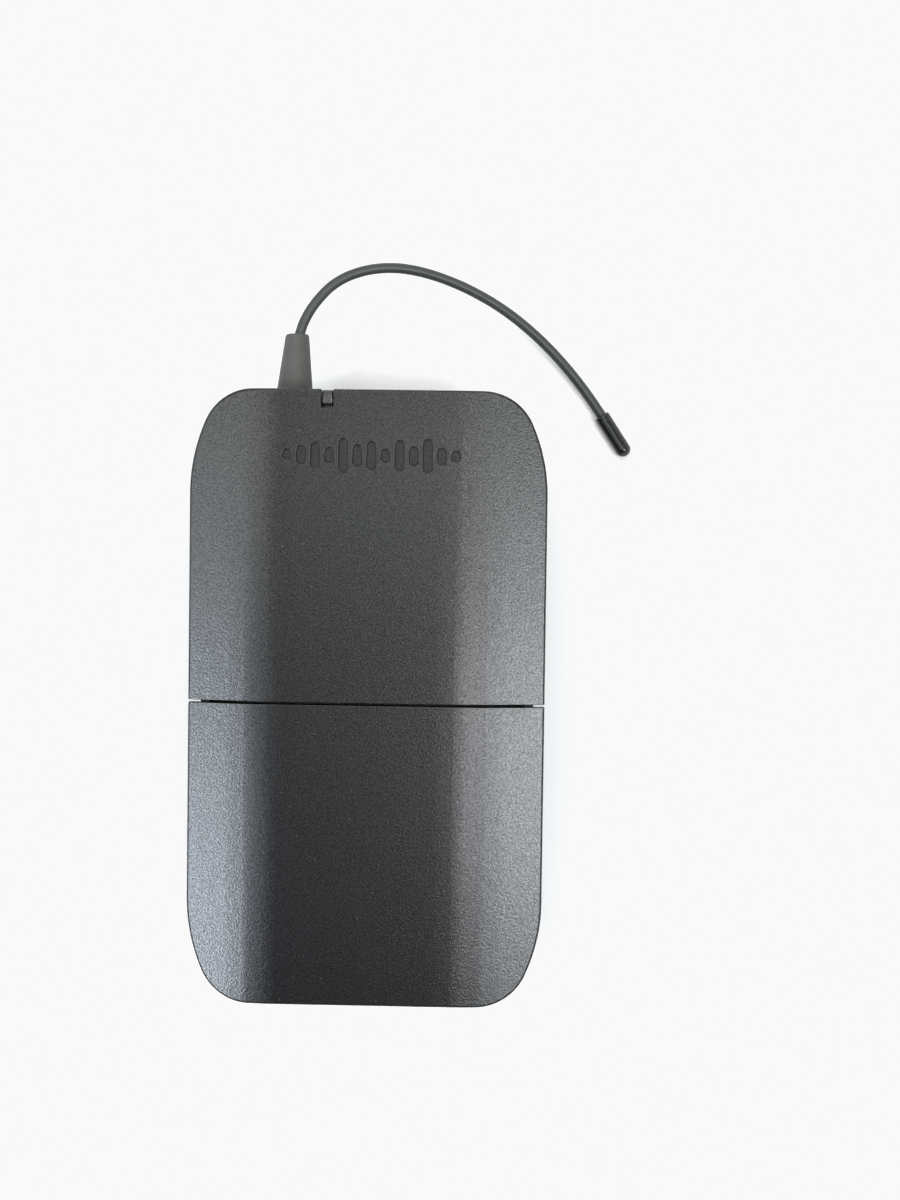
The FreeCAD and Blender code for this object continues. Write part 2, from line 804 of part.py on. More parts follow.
# ---------------------------------------------------------------- rear case

def case_outside():
    low = s.back_level + s.back_chamfer
    return outline_solid("case_outside", [
        (s.back_level, s.back_inset + s.back_chamfer, s.rim_inset + s.back_chamfer),
        (low, s.back_inset, s.rim_inset),
        (s.rim_level, s.rim_inset, s.rim_inset),
    ])


def case_cavity(name, clearance):
    """The inside of the case, or with a clearance the largest thing that fits in it."""
    floor = s.back_level + s.case_wall + clearance * 0.5
    inset = s.case_wall + clearance
    return outline_solid(name, [
        (floor, s.back_inset + inset, s.rim_inset + inset),
        (s.rim_level + 1, s.rim_inset + inset, s.rim_inset + inset),
    ])


def case_bosses():
    """Screw bosses, board standoffs, bushes for the belt clip and the ledges beside the shelf."""
    floor = s.back_level + s.case_wall * 0.5
    pieces = []
    for i, place_xy in enumerate(screw_places()):
        pieces.append(rod(f"boss_{i}", "z", place_xy, s.boss_radius, floor, s.boss_top))
    for i, place_xy in enumerate(board_screw_places()):
        pieces.append(rod(f"standoff_{i}", "z", place_xy, s.standoff_radius, floor, s.board_z))
    bush, ledge = (24.4, 28.4), (22.0, 28.6)
    ledge_y, ledge_z = (-17.6, -1.2), (16.4, 17.8)
    for side, way in (("right", 1), ("left", -1)):
        bush_x = sorted(way * x for x in bush)
        ledge_x = sorted(way * x for x in ledge)
        pieces.append(rod(f"clip_bush_{side}", "x", (s.clip_y, s.clip_z), s.clip_bush, *bush_x))
        pieces.append(block(f"ledge_{side}", ledge_x, ledge_y, ledge_z))
    return pieces


def hinge_lugs():
    """The case's two hinge lugs, each on a short web."""
    pieces = []
    web_y, web_z = (s.hinge_y - 0.5, s.hinge_y + 1.9), (s.hinge_z - 4.2, s.hinge_z)
    for side, x in (("right", (s.lug_inner, s.lug_outer)), ("left", (-s.lug_outer, -s.lug_inner))):
        pieces.append(rod(f"lug_{side}", "x", (s.hinge_y, s.hinge_z), s.lug_radius, *x))
        pieces.append(block(f"web_{side}", x, web_y, web_z))
    return pieces


def rear_case():
    """The deep rear half of the housing."""
    shell = cut("case_shell", case_outside(), case_cavity("case_cavity", 0.0))
    body = fuse("case_body", shell, *case_bosses())
    notch_radius, notch_half = s.barrel_radius + s.hinge_clearance, s.barrel_half + 0.4
    notch = rod("hinge_notch", "x", (s.hinge_y, s.hinge_z), notch_radius, -notch_half, notch_half)
    right = latch_zone("latch_notch_right")
    cuts = [notch, right, mirrored("latch_notch_left", right)]
    seat = s.case_screw_seat
    head, shank = s.case_screw_head + 0.2, s.case_screw_radius + 0.17
    for i, place_xy in enumerate(screw_places()):
        cuts.append(rod(f"screw_head_{i}", "z", place_xy, head, s.back_level - 0.1, seat))
        cuts.append(rod(f"screw_hole_{i}", "z", place_xy, shank, seat - 0.1, s.boss_top + 0.1))
    thread, bottom = s.board_screw_radius + 0.02, s.board_z - s.board_screw_depth - 0.2
    for i, place_xy in enumerate(board_screw_places()):
        cuts.append(rod(f"standoff_hole_{i}", "z", place_xy, thread, bottom, s.board_z + 0.1))
    cuts.append(rod("clip_hole", "x", (s.clip_y, s.clip_z), s.clip_bore, -s.half_width, s.half_width))
    end = (s.half_length - 5, s.half_length + 1)
    cuts.append(rod("boot_hole", "y", (s.antenna_x, s.antenna_z), s.neck_radius + 0.05, *end))
    jack_axis, inner_face = (s.jack_x, s.jack_z), s.half_length - s.rim_inset - s.case_wall
    cuts.append(rod("jack_hole", "y", jack_axis, s.jack_radius + 0.05, *end))
    relief, relief_depth = s.jack_radius + s.jack_flange + 0.2, s.jack_flange_thick + 0.2
    cuts.append(rod("jack_relief", "y", jack_axis, relief, inner_face - relief_depth, inner_face))
    slot_x, slot_z = (s.switch_x - 4.1, s.switch_x + 4.1), (s.switch_z - 1.8, s.switch_z + 1.8)
    cuts.append(block("switch_slot", slot_x, end, slot_z))
    label_x, label_y = (-s.label_half - 0.2, s.label_half + 0.2), (s.label_low - 0.2, s.label_high + 0.2)
    cuts.append(block("label_recess", label_x, label_y, (s.back_level - 0.1, s.back_level + s.label_depth)))
    hollow = cut("case_hollow", body, *cuts)
    lugged = fuse("case_lugged", hollow, *hinge_lugs())
    bore_half = s.pin_half + 0.5
    bore = rod("case_pin_bore", "x", (s.hinge_y, s.hinge_z), s.pin_radius, -bore_half, bore_half)
    return cut("rear_case", lugged, bore)


def rear_label():
    """A blank rating plate in its recess on the back."""
    level = (s.back_level + 0.05, s.back_level + s.label_depth)
    return block("rear_label", (-s.label_half, s.label_half), (s.label_low, s.label_high), level)


def case_screws():
    """Four screws from the back, each with a cross slot."""
    screws = []
    seat = s.case_screw_seat
    long, short, depth = 1.2, 0.25, (s.back_level, seat - 0.7)
    for i, (x, y) in enumerate(screw_places()):
        head = rod(f"case_head_{i}", "z", (x, y), s.case_screw_head, s.back_level + 0.5, seat)
        shank = rod(f"case_shank_{i}", "z", (x, y), s.case_screw_radius, seat - 0.1, s.case_screw_tip)
        slots = [
            block(f"case_cross_{i}_a", (x - long, x + long), (y - short, y + short), depth),
            block(f"case_cross_{i}_b", (x - short, x + short), (y - long, y + long), depth),
        ]
        screws.append(cut(f"case_screw_{i}", fuse(f"case_screw_blank_{i}", head, shank), *slots))
    return group("case_screws", screws)


# ---------------------------------------------------------------- belt clip

CLIP_BENDS = (1.6, 5.0, 12.0, 4.5)


def belt_clip():
    """A spring-wire clip: its ends turn in as pins, and its legs close in a loop near the back."""
    radius = s.clip_wire.value
    half = [
        Vector(24.6, s.clip_y.value, s.clip_z.value),
        Vector(s.clip_side.value, s.clip_y.value, s.clip_z.value),
        Vector(29.0, 28.0, radius),
        Vector(18.0, -24.0, radius),
        Vector(13.0, -35.0, 5.2),
    ]
    points = half + [Vector(-point.x, point.y, point.z) for point in reversed(half)]
    radii = CLIP_BENDS + CLIP_BENDS[::-1]
    return tube("belt_clip", points, radii, radius)


# ---------------------------------------------------------------- cells and their contacts

CELL_NUB, CELL_BASE = 0.6, 0.2


def cells():
    """Two cells side by side, pointing opposite ways, and their metal ends."""
    sleeves, ends = [], []
    for name, y, way in (("lower", s.cell_lower, 1), ("upper", s.cell_upper, -1)):
        centre = (y, s.cell_z)
        sleeves.append(rod(f"sleeve_{name}", "x", centre, s.cell_radius, -s.cell_half, s.cell_half))
        for end, side, radius, length in (("nub", way, 2.75, CELL_NUB), ("base", -way, 5.6, CELL_BASE)):
            reach = s.cell_half + length
            x = (s.cell_half, reach) if side > 0 else (-reach, -s.cell_half)
            ends.append(rod(f"{end}_{name}", "x", centre, radius, *x))
    group("battery_cells", sleeves)
    group("battery_ends", ends)


def plate(name, side, y):
    x = (s.plate_inner, s.plate_inner + s.plate_thick)
    if side < 0:
        x = (-x[1], -x[0])
    return block(name, x, y, (s.plate_low, s.plate_high))


def contacts():
    """Spring and plate contacts at the ends of the cells."""
    half = s.plate_half
    lower = (s.cell_lower - half, s.cell_lower + half)
    upper = (s.cell_upper - half, s.cell_upper + half)
    group("battery_plates", [plate("plate_lower", 1, lower), plate("plate_upper", 1, upper)])
    plate("battery_bridge_plate", -1, (s.cell_lower - half, s.cell_upper + half))
    wire = s.spring_wire.value
    tip = s.cell_half.value + CELL_BASE + wire
    reach = s.plate_inner.value - wire - tip
    turns, radius = 1.75, 2.3
    group("battery_springs", [
        coil("spring_lower", -1, (s.cell_lower, s.cell_z), -tip, reach, turns, radius, wire),
        coil("spring_upper", 1, (s.cell_upper, s.cell_z), tip, reach, turns, radius, wire),
    ])


def battery_tray():
    """The cradle under the cells, cut to fit the inside of the case."""
    tray_block = block("tray_block", (-s.tray_half, s.tray_half), (s.tray_low, s.tray_high),
                       (s.back_level, s.tray_top))
    blank = common("tray_blank", tray_block, case_cavity("tray_limit", 0.3))
    outside, above = s.tray_half + 1, s.tray_top + 1
    slot_z = (s.plate_low - 0.2, above)
    slot_half = s.plate_half + 0.2
    cuts = []
    for name, y in (("lower", s.cell_lower), ("upper", s.cell_upper)):
        cuts.append(rod(f"bay_{name}", "x", (y, s.cell_z), s.bay_radius, -s.bay_half, s.bay_half))
        mouth_y, slot_y = (y - s.bay_radius, y + s.bay_radius), (y - slot_half, y + slot_half)
        cuts.append(block(f"bay_mouth_{name}", (-s.bay_half, s.bay_half), mouth_y, (s.cell_z, above)))
        cuts.append(block(f"contact_slot_{name}", (-outside, outside), slot_y, slot_z))
    cuts.append(block("bridge_slot", (-outside, -s.bay_half), (s.cell_lower, s.cell_upper), slot_z))
    return cut("battery_tray", blank, *cuts)


# ---------------------------------------------------------------- circuit board

def board_screw_places():
    """Where the board screws stand, as (x, y)."""
    xs, ys = (-s.board_screw_x, s.board_screw_x), (s.board_screw_low, s.board_screw_high)
    return [(x, y) for x in xs for y in ys]


def main_board():
    """The board, with one corner cut away for the input jack, and its screw holes."""
    body = new_body("main_board")
    sketch = attached_sketch(body, "XY_Plane", s.board_z)
    corner_x, corner_y = s.jack_x - s.jack_radius - 0.6, 41.2
    add_polygon(sketch, [
        (-s.board_half, s.board_low), (s.board_half, s.board_low), (s.board_half, corner_y),
        (corner_x, corner_y), (corner_x, s.board_high), (-s.board_half, s.board_high),
    ])
    pad(body, sketch, s.board_thick)
    holes = attached_sketch(body, "XY_Plane", s.board_z + s.board_thick)
    for x, y in board_screw_places():
        add_circle(holes, x, y, s.board_screw_radius + 0.27)
    pocket(body, holes, s.board_thick)


def board_screws():
    """Four pan-head screws that hold the board."""
    top, tip = s.board_z + s.board_thick, s.board_z - s.board_screw_depth
    head_height, long, short = 1.2, 1.2, 0.2
    screws = []
    for i, (x, y) in enumerate(board_screw_places()):
        head = rod(f"board_head_{i}", "z", (x, y), s.board_screw_head, top, top + head_height)
        shank = rod(f"board_shank_{i}", "z", (x, y), s.board_screw_radius, tip, top)
        slot_z = (top + head_height * 0.5, top + head_height + 1)
        slot = block(f"board_slot_{i}", (x - long, x + long), (y - short, y + short), slot_z)
        screws.append(cut(f"board_screw_{i}", fuse(f"board_screw_blank_{i}", head, shank), slot))
    return group("board_screws", screws)


# Each chip's middle in x and y, then its width, depth and height; and each capacitor's middle.
CHIPS = (
    (-7.0, 6.5, 7.0, 7.0, 1.2),
    (6.5, 5.0, 5.0, 6.2, 1.5),
    (-14.8, 28.0, 3.0, 5.0, 1.0),
    (3.5, 40.0, 4.0, 3.0, 1.0),
)
CAPACITORS = ((12.5, 14.0), (12.5, 20.0), (12.5, 26.0), (8.5, 32.5))
CAN_FOOT, CAN_RADIUS, CAN_FOOT_HEIGHT, CAN_HEIGHT = 2.1, 2.0, 0.8, 5.2


def board_parts():
    """What is soldered to the board, apart from the controls."""
    top = s.board_z + s.board_thick
    chips = [
        block(f"chip_{i}", (x - w / 2, x + w / 2), (y - d / 2, y + d / 2), (top, top + h))
        for i, (x, y, w, d, h) in enumerate(CHIPS)
    ]
    group("board_chips", chips)
    cans = []
    for i, (x, y) in enumerate(CAPACITORS):
        foot_x, foot_y = (x - CAN_FOOT, x + CAN_FOOT), (y - CAN_FOOT, y + CAN_FOOT)
        foot = block(f"can_foot_{i}", foot_x, foot_y, (top, top + CAN_FOOT_HEIGHT))
        can = rod(f"can_{i}", "z", (x, y), CAN_RADIUS, top + CAN_FOOT_HEIGHT, top + CAN_HEIGHT)
        cans.append(fuse(f"capacitor_{i}", foot, can))
    group("board_capacitors", cans)
    crystal = block("crystal_blank", (3.2, 8.2), (10.6, 13.6), (top, top + 2.2))
    rounded("crystal", crystal, 1.3, lambda middle, normals: all(abs(normal.z) < 0.1 for normal in normals))
    shield_can(top)


def shield_can(top):
    """The tinned lid over the radio stage, with five rows of four holes."""
    x, y, height, sheet_thick = (-11.5, 4.5), (15.5, 35.5), 3.0, 0.3
    lid = block("can_blank", x, y, (top, top + height))
    inside_x, inside_y = ((low + sheet_thick, high - sheet_thick) for low, high in (x, y))
    inside = block("can_inside", inside_x, inside_y, (top - 0.1, top + height - sheet_thick))
    pitch, vent_radius = 3.0, 0.5
    vents = []
    for i in range(4):
        for j in range(5):
            centre = (x[0] + 3.5 + pitch * i, y[0] + 4.0 + pitch * j)
            vents.append(rod(f"vent_{i}_{j}", "z", centre, vent_radius, top + height - 1, top + height + 1))
    cut("rf_shield_can", lid, inside, *vents)


# ---------------------------------------------------------------- controls under the door

BUTTON_FOOT, BUTTON_HEIGHT = 18.75, 3.7
KNOB_FOOT, KNOB_UNDERSIDE, KNOB_TOP = 16.3, 5.4, 8.4


def push_button(label, x):
    """A round button with a flange that keeps it under the shelf."""
    body = new_body(label)
    sketch = attached_sketch(body, "XZ_Plane", 0.0)
    flange, cap, flange_top = s.button_radius + 0.5, s.button_radius, 0.8
    add_polygon(sketch, [
        (0.0, 0.0), (flange, 0.0), (flange, flange_top), (cap, flange_top), (cap, BUTTON_HEIGHT),
        (0.0, BUTTON_HEIGHT),
    ])
    turning = revolve(body, sketch)
    near_top = BUTTON_HEIGHT - 0.1

    def upper_rim(middle, normals):
        return middle.z > near_top and math.hypot(middle.x, middle.y) > 1

    round_edges(body, turning, 0.3, upper_rim)
    return place(body, x, s.panel_y, BUTTON_FOOT)


def gain_knob():
    """A fluted knob with a pointer groove, on its own shaft."""
    body = new_body("gain_knob")
    profile = attached_sketch(body, "XZ_Plane", 0.0)
    add_polygon(profile, [
        (0.0, 0.0), (s.shaft_radius, 0.0), (s.shaft_radius, KNOB_UNDERSIDE),
        (s.knob_radius, KNOB_UNDERSIDE), (s.knob_radius - 0.3, KNOB_TOP), (0.0, KNOB_TOP),
    ])
    revolve(body, profile)
    flute = attached_sketch(body, "XY_Plane", KNOB_TOP)
    add_circle(flute, s.knob_radius + 0.25, 0.0, 0.5)
    first = pocket(body, flute, 2.4)
    pattern = body.newObject("PartDesign::PolarPattern", "gain_knob_flutes")
    pattern.Originals = [first]
    pattern.Axis = (flute, ["N_Axis"])
    pattern.Angle = 360
    pattern.Occurrences = 12
    body.Tip = pattern
    pointer = attached_sketch(body, "XY_Plane", KNOB_TOP)
    add_rectangle(pointer, (-0.3, 0.3), (0.4, s.knob_radius + 0.5))
    pocket(body, pointer, 0.5)
    return place(body, s.knob_x, s.panel_y, KNOB_FOOT)


DISPLAY_TOP, SEGMENT_THICK = 19.2, 0.15
SWITCH_BODY, PLUNGER_TOP, POT_TOP = 3.0, 18.1, 18.2


def display():
    """The window in the shelf, the display under it and two lit digits, each of seven bars."""
    top = s.board_z + s.board_thick
    half_w, half_h = s.window_width * 0.5, s.window_height * 0.5
    lens_x, lens_y = (s.window_x - half_w, s.window_x + half_w), (s.panel_y - half_h, s.panel_y + half_h)
    lens = block("lens_blank", lens_x, lens_y, (s.shelf_low + 0.3, s.shelf_high + 0.15))

    def upper_rim(middle, normals):
        return middle.z > s.shelf_high.value and max(normal.z for normal in normals) > 0.9

    rounded("display_window", lens, 0.2, upper_rim)
    border = 0.3
    display_x, display_y = (lens_x[0] + border, lens_x[1] - border), (lens_y[0] + border, lens_y[1] - border)
    block("channel_display", display_x, display_y, (top, DISPLAY_TOP))
    long, tall, thin, spread, rise = 0.85, 0.7, 0.2, 1.2, 1.0
    level = (DISPLAY_TOP, DISPLAY_TOP + SEGMENT_THICK)
    segments = []

    def segment(x, y, half_x, half_y):
        name = f"segment_{len(segments)}"
        segments.append(block(name, (x - half_x, x + half_x), (y - half_y, y + half_y), level))

    for x in (s.window_x - 1.9, s.window_x + 1.9):
        for i in (-1, 0, 1):
            segment(x, s.panel_y + 2 * rise * i, long, thin)
        for x_side in (-spread, spread):
            for y_side in (-rise, rise):
                segment(x + x_side, s.panel_y + y_side, thin, tall)
    group("display_segments", segments)


def switches_and_pot():
    """The push switches under the buttons and the potentiometer under the knob."""
    top = s.board_z + s.board_thick
    half, plunger_radius = SWITCH_BODY, 1.7
    y = (s.panel_y - half, s.panel_y + half)
    switches = []
    for name, x in (("group", s.group_x), ("channel", s.channel_x)):
        base = block(f"{name}_base", (x - half, x + half), y, (top, top + SWITCH_BODY))
        centre = (x, s.panel_y)
        plunger = rod(f"{name}_plunger", "z", centre, plunger_radius, top + SWITCH_BODY, PLUNGER_TOP)
        switches.append(fuse(f"{name}_switch", base, plunger))
    group("button_switches", switches)
    pot_x, pot_y = (s.knob_x - 3.9, s.knob_x + 3.9), (s.panel_y - 4.2, s.panel_y + 4.2)
    pot = block("pot_blank", pot_x, pot_y, (top, POT_TOP))
    well_z = (KNOB_FOOT - 0.1, POT_TOP + 1)
    well = rod("pot_well", "z", (s.knob_x, s.panel_y), s.shaft_radius + 0.06, *well_z)
    cut("gain_pot_body", pot, well)


# ---------------------------------------------------------------- antenna end

def light_pipe():
    """The clear piece that carries the LED's light up to the notch in the cover."""
    body = new_body("led_light_pipe")
    play, end = 0.18, s.half_length - 0.15
    sketch = attached_sketch(body, "YZ_Plane", s.led_x - s.notch_half + play)
    add_polygon(sketch, [
        (45.6, 16.2), (51.1, 16.2), (51.1, 24.1), (end, 24.1), (end, 26.9), (end - 0.8, 27.6),
        (52.4, 27.6), (52.2, 24.9), (49.4, 24.9), (49.4, 17.8), (45.6, 17.8),
    ])
    bar = pad(body, sketch, (s.notch_half - play) * 2)
    round_edges(body, bar, 0.3, lambda middle, normals: middle.z > 27.2)


def status_led():
    """The small LED under the light pipe's foot."""
    top = s.board_z + s.board_thick
    base = block("led_base", (s.led_x - 0.8, s.led_x + 0.8), (46.0, 48.0), (top, top + 0.6))
    dome = cone("led_dome", "z", (s.led_x, 47.0), 0.7, 0.5, top + 0.6, top + 1.3)
    return fuse("status_led", base, dome)


def antenna_boot():
    """The tapered rubber boot, which leans a little, with its neck and inner flange."""
    body = new_body("antenna_boot")
    wall_face = s.half_length - s.rim_inset
    profiles = []
    for y, x, radius in ((wall_face, 0.0, s.boot_radius), (s.boot_top, s.boot_lean, s.boot_top_radius)):
        sketch = attached_sketch(body, "XZ_Plane", -y)
        add_circle(sketch, s.antenna_x + x, s.antenna_z, radius)
        profiles.append(sketch)
    loft = body.newObject("PartDesign::AdditiveLoft", "boot_taper")
    loft.Profile = profiles[0]
    loft.Sections = [profiles[1]]
    neck = attached_sketch(body, "XZ_Plane", -wall_face)
    add_circle(neck, s.antenna_x, s.antenna_z, s.neck_radius)
    pad(body, neck, s.case_wall + 0.1)
    flange = attached_sketch(body, "XZ_Plane", s.case_wall + 0.1 - wall_face)
    add_circle(flange, s.antenna_x, s.antenna_z, s.neck_radius + 0.8)
    last = pad(body, flange, 1.6)
    round_edges(body, last, 0.5, lambda middle, normals: middle.y > s.boot_top.value - 0.1)
    bore = attached_sketch(body, "XZ_Plane", -s.boot_top)
    add_circle(bore, s.antenna_x + s.boot_lean, s.antenna_z, s.whip_radius)
    pocket(body, bore, s.boot_bore, along_normal=True)


def antenna_inside():
    """The crimp behind the boot and the short lead down to the board."""
    low, high = 46.2, 49.65
    rod("antenna_ferrule", "y", (s.antenna_x, s.antenna_z), 1.4, low, high)
    start = Vector(s.antenna_x.value, low, s.antenna_z.value)
    corner = start - Y_AXIS * 3.0
    foot = Vector(corner.x, corner.y, s.board_z.value + s.board_thick.value)
    tube("antenna_lead", [start, corner, foot], [1.0], 0.5)


# The whip's route, from inside the boot to the cap; the boot's own bore sets its first two points.
WHIP_ROUTE = (
    (-14.0, 61.5, 16.8),
    (-14.0, 65.3, 16.8),
    (-11.5, 70.9, 16.3),
    (-6.6, 76.2, 14.9),
    (1.4, 78.7, 12.6),
    (10.3, 77.7, 9.9),
    (20.8, 73.4, 6.9),
    (30.0, 66.8, 4.0),
    (38.5, 57.6, 2.0),
    (42.0, 52.3, 1.45),
)


def antenna_whip():
    """The flexible whip: it rises from the boot, bends over and lies down to the surface."""
    points = [Vector(*point) for point in WHIP_ROUTE]
    radii = []
    for before, corner, after in zip(points, points[1:], points[2:]):
        half_turn = (corner - before).getAngle(after - corner) / 2
        shorter = min((corner - before).Length, (after - corner).Length)
        radii.append(0.45 * shorter / math.tan(half_turn))
    print("whip radii:", ", ".join(f"{radius:.1f}" for radius in radii))
    tube("antenna_whip", points, radii, s.whip_radius.value)
    print(f"whip length {rounded_wire(points, radii).Length:.1f}")
    return points


def antenna_cap(points):
    """The moulded cap on the whip's end."""
    body = new_body("antenna_tip_cap")
    sketch = attached_sketch(body, "XZ_Plane", 0.0)
    radius, length = s.cap_radius, s.cap_length
    add_polygon(sketch, [(0.0, 0.0), (radius, 0.0), (radius, length), (0.0, length)])
    turning = revolve(body, sketch)
    end_round = s.cap_radius.value - 0.05
    far = s.cap_length.value - 0.1
    rounding = round_edges(body, turning, end_round, lambda middle, normals: middle.z > far)
    round_edges(body, rounding, 0.25, lambda middle, normals: middle.z < 0.1)
    direction = points[-1] - points[-2]
    direction.z = 0
    place(body, points[-1].x, points[-1].y, points[-1].z, FreeCAD.Rotation(Z_AXIS, direction))


def power_switch():
    """A slide switch: its ribbed cap stands in a slot in the end wall, its body is on the board."""
    wall_face = s.half_length - s.rim_inset
    inner_face = wall_face - s.case_wall
    x, z = s.switch_x, s.switch_z
    cap_x, stem_x = (x - 3.85, x + 0.85), (x - 2.2, x - 0.8)
    flange_x = (cap_x[0] - 1.4, cap_x[1] + 1.4)
    cap = block("slider_cap", cap_x, (inner_face - 0.4, wall_face + 1.3), (z - 1.5, z + 1.5))
    flange = block("slider_flange", flange_x, (inner_face - 1.5, inner_face - 0.3), (z - 2.4, z + 2.4))
    stem = block("slider_stem", stem_x, (inner_face - 3.4, inner_face - 1.5), (z - 0.6, z + 0.6))
    groove_y, groove_z = (wall_face + 0.9, wall_face + 2), (z - 2, z + 2)
    grooves = []
    for i in range(5):
        left = cap_x[0] + 0.6 + 0.8 * i
        grooves.append(block(f"slider_grip_{i}", (left, left + 0.4), groove_y, groove_z))
    cut("power_switch_slider", fuse("slider_blank", cap, flange, stem), *grooves)
    top = s.board_z + s.board_thick
    case = block("switch_case", (x - 5.0, x + 5.0), (43.4, inner_face - 2.1), (top, z + 2.2))
    mouth = block("switch_mouth", (x - 2.6, x + 2.6), (inner_face - 3.8, inner_face), (z - 1, z + 1))
    cut("power_switch_body", case, mouth)


JACK_BACK, JACK_DISC_FRONT, CONTACT_TIP = 42.6, 44.8, 49.5


def input_jack():
    """A four-contact miniature locking socket, held in the end wall by a ring nut."""
    wall_face = s.half_length - s.rim_inset
    inner_face = wall_face - s.case_wall
    x, z = s.jack_x, s.jack_z
    centre = (x, z)
    barrel = rod("jack_barrel", "y", centre, s.jack_radius, JACK_BACK, wall_face + 1.0)
    flange_y = (inner_face - s.jack_flange_thick, inner_face - 0.02)
    flange = rod("jack_flange", "y", centre, s.jack_radius + s.jack_flange, *flange_y)
    bore = rod("jack_bore_hole", "y", centre, s.jack_bore, JACK_BACK - 1, wall_face + 2.0)
    key_z = (z - s.jack_bore - 0.1, z - s.jack_bore + 0.5)
    key = block("jack_key", (x - 0.5, x + 0.5), (46.0, wall_face + 0.4), key_z)
    fuse("input_jack_shell", cut("jack_tube", fuse("jack_blank", barrel, flange), bore), key)
    jack_contacts()
    ring = cut(
        "nut_ring",
        rod("nut_outside", "y", centre, s.jack_radius + 0.9, wall_face + 0.02, wall_face + 0.9),
        rod("nut_inside", "y", centre, s.jack_radius + 0.02, wall_face - 1, wall_face + 2),
    )
    half, reach, slot_y = 0.5, 8, (wall_face + 0.45, wall_face + 2)
    slots = [
        block("nut_slot_x", (x - reach, x + reach), slot_y, (z - half, z + half)),
        block("nut_slot_z", (x - half, x + half), slot_y, (z - reach, z + reach)),
    ]
    cut("input_jack_nut", ring, *slots)


def jack_contacts():
    """The insulating disc in the socket and its four pins."""
    offset, radius = s.contact_offset, s.contact_radius
    disc = rod("jack_disc", "y", (s.jack_x, s.jack_z), s.jack_bore - 0.02, JACK_BACK + 0.2, JACK_DISC_FRONT)
    pins, holes = [], []
    for x_side in (-offset, offset):
        for z_side in (-offset, offset):
            centre, i = (s.jack_x + x_side, s.jack_z + z_side), len(pins)
            shaft = rod(f"contact_{i}_shaft", "y", centre, radius, JACK_BACK - 1.2, CONTACT_TIP)
            tip = cone(f"contact_{i}_tip", "y", centre, radius, radius - 0.3, CONTACT_TIP, CONTACT_TIP + 0.4)
            pins.append(fuse(f"contact_{i}", shaft, tip))
            holes.append(rod(f"contact_hole_{i}", "y", centre, radius, JACK_BACK, JACK_DISC_FRONT + 0.2))
    cut("input_jack_insert", disc, *holes)
    group("input_jack_pins", pins)


# ---------------------------------------------------------------- the whole pack

def build():
    outside, shell = front_shells()
    front_cover(outside, shell)
    battery_door(shell)
    rear_case()
    door_pin()
    foam_pad()
    mirrored("latch_left", latch("latch_right"))
    latch_springs()
    rear_label()
    case_screws()
    belt_clip()
    cells()
    contacts()
    battery_tray()
    main_board()
    board_screws()
    board_parts()
    push_button("group_button", s.group_x)
    push_button("channel_button", s.channel_x)
    gain_knob()
    display()
    switches_and_pot()
    light_pipe()
    status_led()
    antenna_boot()
    antenna_inside()
    antenna_cap(antenna_whip())
    power_switch()
    input_jack()


NODES = (
    "front_cover", "battery_door", "rear_case", "battery_tray", "door_hinge_pin", "door_foam_pad",
    "latch_left", "latch_right", "latch_spring_left", "latch_spring_right", "belt_clip", "rear_label",
    "case_screws", "board_screws", "antenna_boot", "antenna_whip", "antenna_tip_cap", "antenna_ferrule",
    "antenna_lead", "led_light_pipe", "status_led", "power_switch_slider", "power_switch_body",
    "input_jack_shell", "input_jack_insert", "input_jack_pins", "input_jack_nut", "main_board",
    "rf_shield_can", "board_chips", "board_capacitors", "crystal", "gain_knob", "gain_pot_body",
    "group_button", "channel_button", "button_switches", "display_window", "channel_display",
    "display_segments", "battery_cells", "battery_ends", "battery_springs", "battery_plates",
    "battery_bridge_plate",
)

build()
doc.recompute()
failed = [thing.Name for thing in doc.Objects if "Invalid" in thing.State or "Error" in thing.State]
if failed:
    raise RuntimeError(f"these objects failed: {failed}")
for name in NODES:
    node = doc.getObject(name)
    node.Label = name
    if node.Shape.isNull() or not node.Shape.isValid():
        raise RuntimeError(f"{name} has no valid shape")
for name in NODES:
    node = doc.getObject(name)
    node.Shape.exportStep(f"parts/{name}.step")
    box = node.Shape.BoundBox
    print(f"{name}: {len(node.Shape.Solids)} solids, {node.Shape.Volume:.1f} mm3")
    spans = ((box.XMin, box.XMax), (box.YMin, box.YMax), (box.ZMin, box.ZMax))
    print("   ", ", ".join(f"{low:.2f}..{high:.2f}" for low, high in spans))
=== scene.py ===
import json
import math

import bmesh
import bpy
from mathutils import Euler, Matrix, Vector, noise


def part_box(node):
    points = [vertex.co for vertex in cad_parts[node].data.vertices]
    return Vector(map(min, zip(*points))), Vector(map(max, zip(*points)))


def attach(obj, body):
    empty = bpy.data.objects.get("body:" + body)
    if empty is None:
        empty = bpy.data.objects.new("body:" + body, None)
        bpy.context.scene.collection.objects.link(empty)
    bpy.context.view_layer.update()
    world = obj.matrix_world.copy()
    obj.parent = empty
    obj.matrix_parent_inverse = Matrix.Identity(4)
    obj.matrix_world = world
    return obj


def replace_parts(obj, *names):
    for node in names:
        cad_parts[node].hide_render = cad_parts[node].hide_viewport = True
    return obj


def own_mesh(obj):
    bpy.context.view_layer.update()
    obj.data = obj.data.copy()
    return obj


# The looks of a wireless bodypack transmitter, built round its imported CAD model. Metres, in the CAD's frame:
# +Z out of the front face, +Y towards the antenna end. The pack lies on its belt clip on a pale floor.

MM = 0.001

